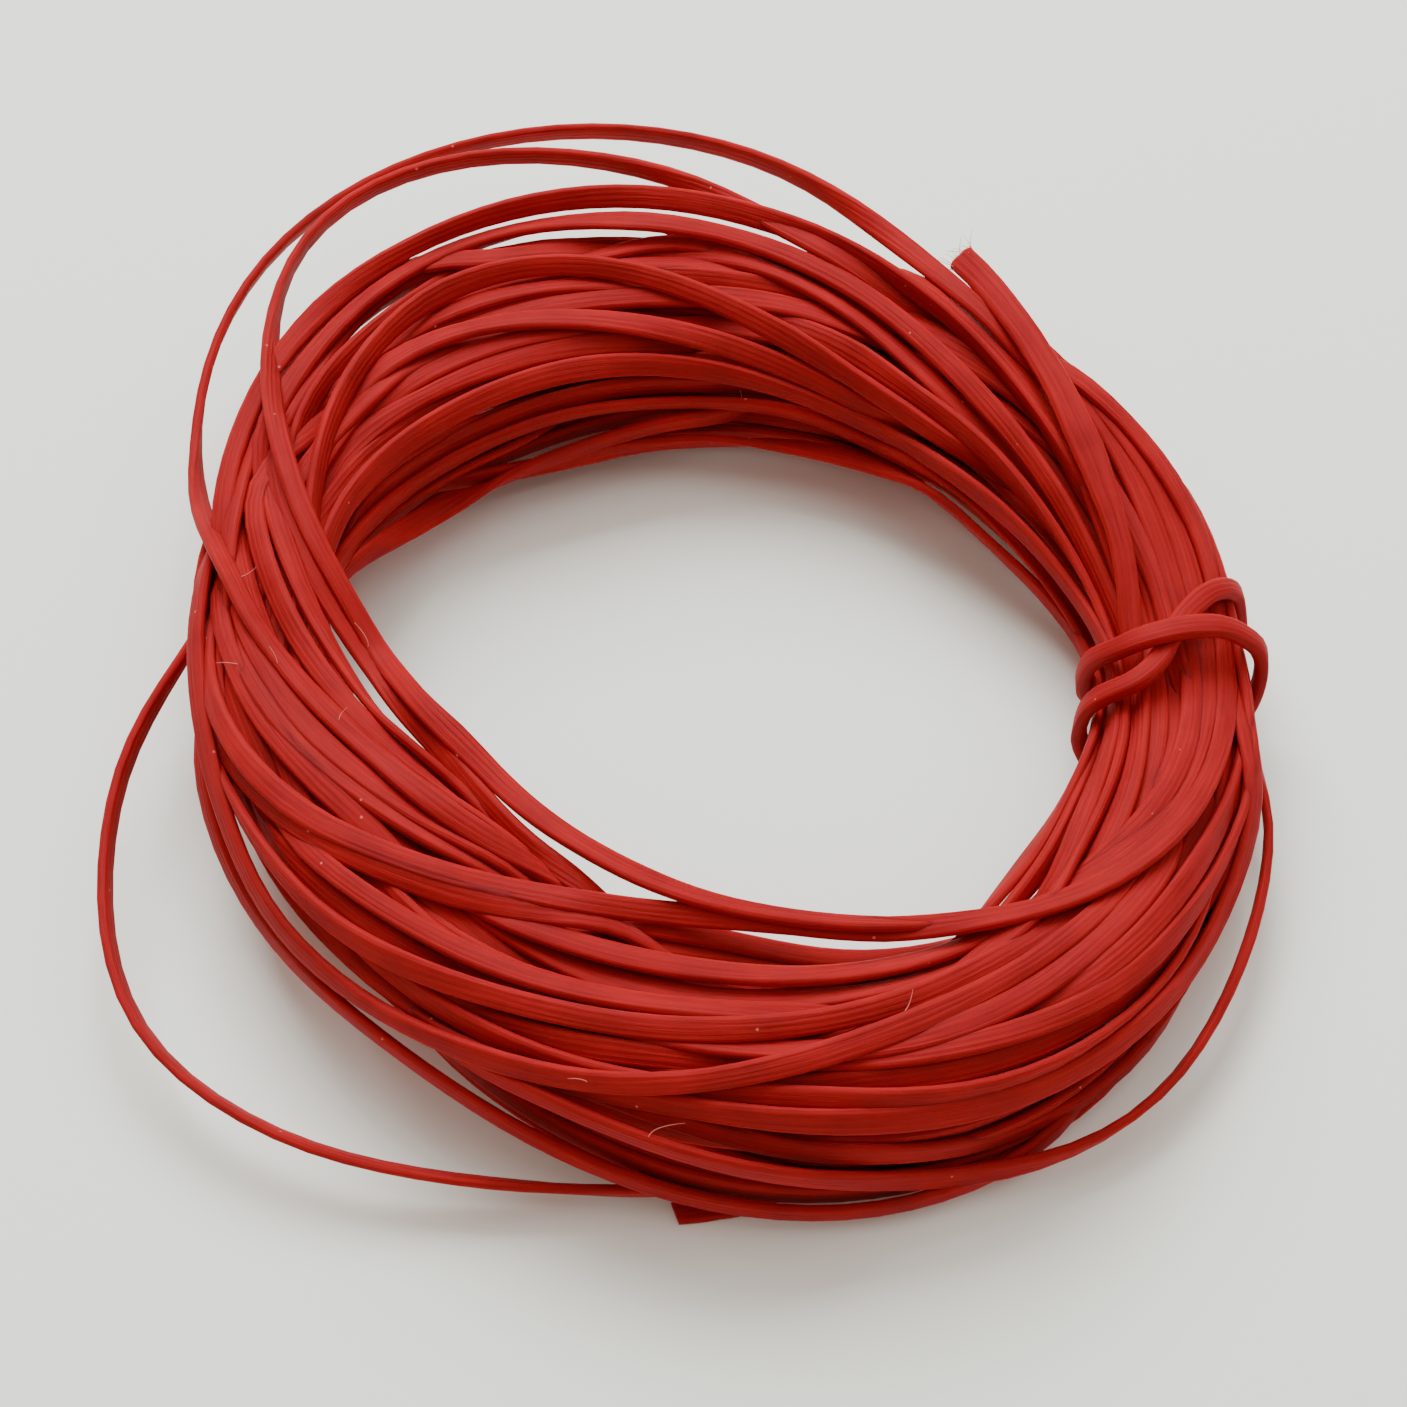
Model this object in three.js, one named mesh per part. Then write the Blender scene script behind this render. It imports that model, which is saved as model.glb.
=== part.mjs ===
// A skein of flat waxed cord: one long cord wound into a ring, squeezed by two wraps of its own end
// and laid flat. Millimetres, +Z up, standing on z = 0, with the tied side towards +X.
import * as THREE from "three";

const { CatmullRomCurve3, MathUtils, Vector2, Vector3 } = THREE;

// The cord itself: a flat one, its corners a little round.
const CORD_WIDTH = 1.25;
const CORD_THICKNESS = 0.5;
const CORD_CORNER = 0.15;
const CORD_STEP = 3; // length of one straight step of a cord's own solid

// The ring's middle, seen from above.
const RING_CENTRE = new Vector2(1.7, -3.5);

// Sections of the ring, a row every 30 degrees from the tied side at +X, anticlockwise from above.
// inner and outer are the radii of the section's sides, height its height above its underside, lift
// the height of that underside above the table.
const SECTIONS = [
  { inner: 20.2, outer: 28.2, height: 6.8, lift: 1.6 },
  { inner: 17.0, outer: 28.8, height: 10.2, lift: 0.4 },
  { inner: 16.5, outer: 28.7, height: 11.4, lift: 0 },
  { inner: 16.3, outer: 30.1, height: 11.8, lift: 0 },
  { inner: 17.2, outer: 31.0, height: 11.8, lift: 0 },
  { inner: 20.5, outer: 31.0, height: 11.8, lift: 0 },
  { inner: 18.4, outer: 28.6, height: 12.0, lift: 0 },
  { inner: 16.3, outer: 28.4, height: 12.2, lift: 0 },
  { inner: 16.8, outer: 28.8, height: 12.0, lift: 0 },
  { inner: 18.5, outer: 31.0, height: 11.6, lift: 0 },
  { inner: 21.2, outer: 32.0, height: 10.8, lift: 0 },
  { inner: 20.3, outer: 30.0, height: 9.0, lift: 0.7 },
];
const SECTION_SQUARENESS = 2.7; // 2 is an ellipse, more is nearer a rectangle
const UNDERSIDE_CUT = 1.2; // how much of the round underside is pressed flat

// Bundles of turns, side by side round the section: the share of the way round that each takes and
// how far its crown stands above the furrows at its two sides.
const BUNDLES = [
  { share: 1.0, crown: 1.0 },
  { share: 0.7, crown: 0.7 },
  { share: 1.3, crown: 1.2 },
  { share: 0.8, crown: 0.8 },
  { share: 1.1, crown: 1.1 },
  { share: 0.9, crown: 0.7 },
  { share: 1.2, crown: 1.2 },
  { share: 0.7, crown: 0.8 },
  { share: 1.0, crown: 1.0 },
  { share: 1.3, crown: 1.1 },
];
const POINTS_PER_BUNDLE = 5;
const BUNDLE_ROUNDNESS = 0.7; // less is a broader crown and a narrower furrow
const BUNDLES_DRIFTED = 3; // bundles that the twist moves round the section in one turn of the ring
const RINGS = 72;

// The tie's route, twice over the ring: around is degrees round the section, from its outer side over
// the top, along is degrees round the ring, and over how far it rides above its first wrap.
const TIE = [
  { around: 215, along: -15.8, over: 0 },
  { around: 180, along: -14.5, over: 0 },
  { around: 130, along: -11.5, over: 0 },
  { around: 90, along: -5.8, over: 0 },
  { around: 55, along: 0.8, over: 0 },
  { around: 0, along: 3.6, over: 0 },
  { around: -90, along: -1.0, over: 0 },
  { around: -180, along: -7.2, over: 0 },
  { around: -230, along: -6.0, over: 0.2 },
  { around: -275, along: -4.8, over: 0.8 },
  { around: -310, along: -4.0, over: 0.8 },
  { around: -360, along: -3.6, over: 0.1 },
  { around: -430, along: -6.0, over: 0 },
];
const TIE_STEPS = 64;
const TIE_CLEARANCE = 0.57; // a flat wrap's edges come nearer the ring's skin than its middle

// Stretches that lie clear of the ring, by degrees round it, radius and height. Each starts level.
const STRAY_LEFT = [
  { along: 177, radius: 29.3, height: 4.4 },
  { along: 187, radius: 32.3, height: 4.4 },
  { along: 196, radius: 34.1, height: 3.8 },
  { along: 206, radius: 35.9, height: 3.4 },
  { along: 213, radius: 36.6, height: 3.2 },
  { along: 219, radius: 36.1, height: 3.0 },
  { along: 230, radius: 34.4, height: 2.5 },
  { along: 238, radius: 32.6, height: 2.2 },
  { along: 247, radius: 30.9, height: 1.8 },
  { along: 253, radius: 30.1, height: 1.5 },
];
const STRAY_FAR_OUTER = [
  { along: 158, radius: 30.8, height: 6.8 },
  { along: 151, radius: 33.2, height: 6.8 },
  { along: 142, radius: 36.1, height: 7.0 },
  { along: 132, radius: 38.6, height: 7.0 },
  { along: 124, radius: 39.7, height: 7.0 },
  { along: 116, radius: 40.0, height: 7.0 },
  { along: 107, radius: 39.6, height: 7.0 },
  { along: 98, radius: 38.5, height: 7.0 },
  { along: 89, radius: 36.2, height: 7.5 },
  { along: 83, radius: 34.3, height: 8.0 },
  { along: 75, radius: 31.1, height: 9.0 },
  { along: 71, radius: 29.2, height: 9.7 },
];
const STRAY_FAR_INNER = [
  { along: 87, radius: 29.6, height: 9.9 },
  { along: 94, radius: 31.8, height: 9.9 },
  { along: 99, radius: 34.0, height: 9.0 },
  { along: 106, radius: 36.5, height: 8.5 },
  { along: 113, radius: 37.9, height: 8.3 },
  { along: 120, radius: 38.5, height: 8.3 },
  { along: 128, radius: 37.5, height: 8.5 },
  { along: 137, radius: 33.5, height: 9.5 },
  { along: 143, radius: 30.5, height: 10.4 },
];
const STRAY_RIGHT = [
  { along: 347, radius: 30.0, height: 2.9 },
  { along: 336, radius: 31.0, height: 2.9 },
  { along: 326, radius: 31.9, height: 2.5 },
  { along: 318, radius: 32.6, height: 2.3 },
  { along: 311, radius: 33.3, height: 2.1 },
  { along: 304, radius: 33.2, height: 2.0 },
  { along: 298, radius: 32.6, height: 1.8 },
  { along: 291, radius: 31.7, height: 1.5 },
];
const STRAY_NEAR_INNER = [
  { along: 243, radius: 16.9, height: 11.1 },
  { along: 251, radius: 16.9, height: 11.1 },
  { along: 265, radius: 17.7, height: 11.0 },
  { along: 274, radius: 18.7, height: 11.0 },
  { along: 288, radius: 20.2, height: 10.6 },
  { along: 304, radius: 22.1, height: 10.8 },
  { along: 312, radius: 23.3, height: 11.1 },
];
const LOOSE_END = [
  { along: 58.0, radius: 27.4, height: 11.2 },
  { along: 52.0, radius: 26.0, height: 11.7 },
  { along: 46.7, radius: 25.0, height: 11.8 },
  { along: 38.0, radius: 23.8, height: 11.5 },
  { along: 28.0, radius: 22.8, height: 11.0 },
  { along: 18.1, radius: 22.3, height: 10.3 },
  { along: 8.0, radius: 22.2, height: 9.3 },
];
const CUT_END = [
  { along: 273.0, radius: 30.9, height: 0.4 },
  { along: 269.0, radius: 30.9, height: 0.4 },
  { along: 265.7, radius: 30.8, height: 0.4 },
  { along: 262.5, radius: 30.6, height: 0.4 },
];

const cordRed = new THREE.MeshStandardMaterial({ color: 0xb9231c, roughness: 0.5, metalness: 0 });

function ringPoint(degrees, radius, z) {
  const angle = MathUtils.degToRad(degrees);
  const x = RING_CENTRE.x + radius * Math.cos(angle);
  const y = RING_CENTRE.y + radius * Math.sin(angle);
  return new Vector3(x, y, z);
}

// The columns of the sections, as smooth closed curves read by the share of the way round.
const sideCurve = new CatmullRomCurve3(
  SECTIONS.map((row) => new Vector3(row.inner, row.outer, row.height)),
  true,
);
const liftCurve = new CatmullRomCurve3(
  SECTIONS.map((row) => new Vector3(row.lift, 0, 0)),
  true,
  "catmullrom",
);

// A point of the ring's skin: along and around are degrees round the ring and round its section,
// and proud is how far outside the plain section the point lies.
function skinPoint(along, around, proud) {
  const share = MathUtils.euclideanModulo(along, 360) / 360;
  const { x: inner, y: outer, z: height } = sideCurve.getPoint(share);
  const lift = Math.max(0, liftCurve.getPoint(share).x);
  const angle = MathUtils.degToRad(around);
  const power = 2 / SECTION_SQUARENESS;
  const across = Math.sign(Math.cos(angle)) * Math.abs(Math.cos(angle)) ** power;
  const up = Math.sign(Math.sin(angle)) * Math.abs(Math.sin(angle)) ** power;
  const radius = (inner + outer) / 2 + across * ((outer - inner) / 2 + proud);
  const z = (height - UNDERSIDE_CUT) / 2 + up * ((height + UNDERSIDE_CUT) / 2 + proud);
  const underside = -Math.max(0, proud);
  return ringPoint(along, radius, lift + Math.max(underside, z));
}

// Where each lengthwise line of the skin starts round the section, and how far it stands proud of
// the plain section: not at all on a crown, and less than nothing in a furrow.
function skinLines() {
  const total = BUNDLES.reduce((sum, row) => sum + row.share, 0);
  const lines = [];
  let start = 0;
  for (const { share, crown } of BUNDLES) {
    for (let i = 0; i < POINTS_PER_BUNDLE; i++) {
      const across = i / POINTS_PER_BUNDLE;
      const rise = Math.sin(Math.PI * across) ** BUNDLE_ROUNDNESS;
      lines.push({ around: (360 * (start + share * across)) / total, proud: crown * (rise - 1) });
    }
    start += share;
  }
  return lines;
}

// The wound ring: its lengthwise lines creep round the section, and each ends where another starts.
function woundRing() {
  const lines = skinLines();
  const count = lines.length;
  const shift = BUNDLES_DRIFTED * POINTS_PER_BUNDLE;
  const vertex = (ring, line) =>
    ring < RINGS ? ring * count + (line % count) : (line + shift) % count;
  const positions = [];
  const faces = [];
  for (let ring = 0; ring < RINGS; ring++) {
    const share = ring / RINGS;
    for (let i = 0; i < count; i++) {
      const end = lines[(i + shift) % count];
      const endAround = end.around + (i + shift < count ? 0 : 360);
      const around = MathUtils.lerp(lines[i].around, endAround, share);
      const proud = MathUtils.lerp(lines[i].proud, end.proud, share);
      skinPoint(360 * share, around, proud).toArray(positions, positions.length);

      const a = vertex(ring, i);
      const b = vertex(ring, i + 1);
      const c = vertex(ring + 1, i);
      const d = vertex(ring + 1, i + 1);
      faces.push(a, c, b, b, c, d);
    }
  }
  const geometry = new THREE.BufferGeometry();
  geometry.setAttribute("position", new THREE.Float32BufferAttribute(positions, 3));
  geometry.setIndex(faces);
  geometry.computeVertexNormals();
  return geometry;
}

// The cord's section. Extruding along a route that starts level turns its first side upright.
function cordSection(first, second) {
  const a = first / 2;
  const b = second / 2;
  const c = CORD_CORNER;
  const corners = [
    [a, b - c], [a - c, b], [c - a, b], [-a, b - c],
    [-a, c - b], [c - a, -b], [a - c, -b], [a, c - b],
  ];
  return new THREE.Shape(corners.map(([x, y]) => new Vector2(x, y)));
}

const onEdge = cordSection(CORD_WIDTH, CORD_THICKNESS);
const onFlat = cordSection(CORD_THICKNESS, CORD_WIDTH);

function cordAlong(points, section, steps) {
  const extrudePath = new CatmullRomCurve3(points);
  const lengthSteps = Math.ceil(extrudePath.getLength() / CORD_STEP);
  return new THREE.ExtrudeGeometry(section, { steps: steps ?? lengthSteps, extrudePath });
}

function routePoints(route) {
  return route.map(({ along, radius, height }) => ringPoint(along, radius, height));
}

// The tie's route, read from its table at even steps and laid a gap outside the ring's skin.
function tiePoints() {
  const table = new CatmullRomCurve3(
    TIE.map(({ around, along, over }) => new Vector3(around, along, over)),
  );
  const points = [];
  for (let step = 0; step <= TIE_STEPS; step++) {
    const { x: around, y: along, z: over } = table.getPoint(step / TIE_STEPS);
    points.push(skinPoint(along, around, TIE_CLEARANCE + CORD_THICKNESS / 2 + Math.max(0, over)));
  }
  return points;
}

function piece(name, geometry) {
  const mesh = new THREE.Mesh(geometry, cordRed);
  mesh.name = name;
  return mesh;
}

const skein = new THREE.Group();
skein.add(
  piece("skein", woundRing()),
  piece("tie_wraps", cordAlong(tiePoints(), onEdge, TIE_STEPS)),
  piece("loose_end", cordAlong(routePoints(LOOSE_END), onFlat)),
  piece("cut_end", cordAlong(routePoints(CUT_END), onFlat)),
  piece("stray_turn_left", cordAlong(routePoints(STRAY_LEFT), onEdge)),
  piece("stray_turn_far_outer", cordAlong(routePoints(STRAY_FAR_OUTER), onEdge)),
  piece("stray_turn_far_inner", cordAlong(routePoints(STRAY_FAR_INNER), onEdge)),
  piece("stray_turn_right", cordAlong(routePoints(STRAY_RIGHT), onEdge)),
  piece("stray_turn_near_inner", cordAlong(routePoints(STRAY_NEAR_INNER), onEdge)),
);

export default skein;
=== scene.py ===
import math

import bpy
import numpy as np
from mathutils import Matrix, Vector


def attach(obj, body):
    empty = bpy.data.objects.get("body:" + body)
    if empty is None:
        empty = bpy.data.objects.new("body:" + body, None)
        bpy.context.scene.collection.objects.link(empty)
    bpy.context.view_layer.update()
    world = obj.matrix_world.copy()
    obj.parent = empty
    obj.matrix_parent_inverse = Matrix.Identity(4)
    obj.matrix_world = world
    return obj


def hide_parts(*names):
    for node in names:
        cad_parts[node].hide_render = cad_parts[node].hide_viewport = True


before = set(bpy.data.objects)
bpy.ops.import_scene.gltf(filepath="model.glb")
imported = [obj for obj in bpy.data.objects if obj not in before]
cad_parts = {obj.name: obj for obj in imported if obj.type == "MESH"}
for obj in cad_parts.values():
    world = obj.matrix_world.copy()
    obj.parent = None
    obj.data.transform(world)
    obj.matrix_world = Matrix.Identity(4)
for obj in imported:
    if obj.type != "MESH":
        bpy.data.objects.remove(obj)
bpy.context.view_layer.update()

bl_info = {
    "name": "Skein of flat cord",
    "version": (1, 0, 0),
    "blender": (4, 5, 0),
    "location": "3D View > Sidebar > Skein",
    "description": "Winds one long flat waxed cord into a loose ring, tied with its own end",
    "category": "Add Mesh",
}

# The solids that the cord takes the place of
CORD_NODES = (
    "skein", "tie_wraps", "loose_end", "cut_end", "stray_turn_left", "stray_turn_far_outer",
    "stray_turn_far_inner", "stray_turn_right", "stray_turn_near_inner",
)

# Sizes of the cord, in metres, and a quarter of its section's outline, as shares of them
CORD_WIDTH = 0.00125
CORD_THICKNESS = 0.0005
SECTION_QUARTER = ((0.5, 0.13), (0.455, 0.39), (0.33, 0.5))

# The wound ring: its middle, and its section every 30 degrees round it from +X, seen from above
RING_CENTRE = (0.0017, -0.0035)
SECTION_SQUARENESS = 2.7  # 2 is an ellipse, more is nearer a rectangle
UNDERSIDE_CUT = 0.0012  # how much of the round underside is pressed flat
SECTIONS = (
    # inner radius, outer radius, height, lift
    (0.0202, 0.0282, 0.0068, 0.0016),
    (0.0170, 0.0288, 0.0102, 0.0004),
    (0.0165, 0.0287, 0.0114, 0.0000),
    (0.0163, 0.0301, 0.0118, 0.0000),
    (0.0172, 0.0310, 0.0118, 0.0000),
    (0.0205, 0.0310, 0.0118, 0.0000),
    (0.0184, 0.0286, 0.0120, 0.0000),
    (0.0163, 0.0284, 0.0122, 0.0000),
    (0.0168, 0.0288, 0.0120, 0.0000),
    (0.0185, 0.0310, 0.0116, 0.0000),
    (0.0212, 0.0320, 0.0108, 0.0000),
    (0.0203, 0.0300, 0.0090, 0.0007),
)
SKIN_STEP = 2.0  # degrees round the section between points of its skin
INNER_SIDE = 0.020  # a radius near the ring's inner side
OUTER_SIDE = 0.030  # and one near its outer side
HALFWAY_UP = 0.005  # about half its height

# Where the camera stands and what it looks at
CAMERA_PLACE = (0.0008, -0.0959, 0.14217)
CAMERA_TARGET = (0.0008, -0.0027, 0.0)
CAMERA_ROLL = math.radians(-2.69)
CAMERA_LENS_MM = 77.86
CAMERA_SENSOR_MM = 36.0
CAMERA_CLIP_START = 0.005
SIGHT_TOP = 0.0140  # sight lines are followed from this height down to the floor
SIGHT_STEPS = 181

# How the cord is laid out: a station every ANGLE_STEP degrees, the first of each turn in the tie
TURNS = 64
ALL_TURNS = TURNS + 2  # with those of the cord's two ends
FIRST_ANGLE = -6.0
ANGLE_STEP = 3.0
STATIONS = round(360.0 / ANGLE_STEP)  # in one turn
HIDDEN_STRETCH_MIN = 30.0  # degrees from one row to the next
LAST_HIDDEN_STRETCH = 60.0  # degrees from the last row to the tie
EVEN_SHARES = (1.0, 0.7, 61)  # how evenly the rows are spread: the first try, the last and how many
DIVE = 52.0  # degrees in which the cord leaves its row for its place inside the ring
SEED = 11

# How a row is read: its depth under the ring's skin, and how often it is smoothed
LAYER = 0.00055  # depth of one level
TIE_MIDDLE = -6.0  # degrees round the ring
TIE_REACH = 6.0  # degrees to each side of it where the tie presses in full
TIE_FADE = 16.0  # degrees beyond them in which its press ends
TIE_PRESS = 0.7  # levels that it presses turns down by
END_SINK = 1.0  # levels that a row goes down by at its two ends
END_SINK_DEGREES = 6.0
LANE_ROUNDS = 6
PLACE_ROUNDS = 24
STRAY_JOIN = 2.0  # degrees left open between a stray stretch and its lanes
ROLL_BACK_FROM = 200.0  # degrees round the ring where a stray turn starts to roll back
ROLL_BACK_OVER = 50.0

# Which of two held turns that cross lies on top: the one of lower rank. A rank is the level of the
# turn's row, with these added for its table, for an odd row and for each row before it
SEEN_RANK = 1.0
STRAY_RANK = -1.0
ODD_ROW_RANK = 0.5
ROW_RANK = 0.001

# Where free turns lie inside the ring: rings of slots, each as a share of the section's half sizes
# and its number of slots, and the swing of all of them round the section on their way round the ring
HOME_RINGS = ((0.08, 1), (0.27, 6), (0.45, 12), (0.63, 17))
LAST_HOME_RING = 0.80  # holds the rest
HOME_TURN = 0.7  # radians from one ring's first slot to that of the next
HOME_SWING = 45.0  # degrees
HOME_SWING_START = 0.6  # radians

# How turns roll about their own length
ON_FLOOR = 0.0005  # height up to which it lies flat
HELD_ROLL = 24.0  # degrees by which a held turn rolls
HELD_ROLL_STATIONS = 20  # stations over which that changes
INNER_ROLL = 34.0  # and the same for a free one
INNER_ROLL_STATIONS = 14
CLEAR_CALM = 0.7  # how much less a turn that stands clear of the ring rolls
CLEAR_OUTSIDE = (1.0, 0.25)  # crowding from which a turn stands clear, and over how much
CLEAR_INSIDE = (0.98, 0.08)
ROLL_ROUNDS = 10
SKIN_POWER = 2.2  # more lays turns more squarely along the ring's top and sides
UPRIGHT_LEAN = 1e-3  # these two keep a turn at the section's side from having no upper side
LEAST_LEAN = 1e-2

# How the turns settle, step by step: shares, and limits in metres
SETTLE_STEPS = 260
PUSH_SHARE = 0.7
PUSH_LIMIT = 0.00015
HELD_EASE = 0.25  # how easily a held turn gives way, where a free one is 1
STACK_REACH = 0.8  # cord widths within which crossing turns part
STACK_RISE = 1.3  # thicknesses that they may leave their row by
STACK_LIMIT = 0.0001
PULL_BACK = 0.06  # of held turns, back to their row
FREE_STRAIGHTENING = 0.22
HELD_STRAIGHTENING = 0.06
LAST_STRAIGHTENING = 0.2
LAST_ROUNDS = 3
COVER_AT_TIE = 0.0004  # depth at which free turns stay under the skin that the camera sees
COVER_MORE = 0.0005  # more of it away from the tie
COVER_REACH = 8.0  # degrees to each side of +X
COVER_HIDDEN = 2.5  # how soon a free stretch has its full cover
COVER_FACING = 2.0  # and how soon a side that faces the camera has
CORE_LIMIT = 0.0003  # the most that a free turn is moved towards the core
SLOPE_TEST = 0.001  # the step outwards that gives the picture's scale
LOWEST = 0.55  # thicknesses over the floor

# The cord along its route: how finely its ends and its tie are followed, and how its size changes
WRAP_STEP = 0.0006
WRAP_WIDTH_SHARE = 0.95
WRAP_THICKNESS_SHARE = 1.55
PINCH_ROUNDS = 12
SIDE_ROUNDS = 7
UNEVEN_WIDTH = 0.07
UNEVEN_POINTS = 4  # over which it changes

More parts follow.
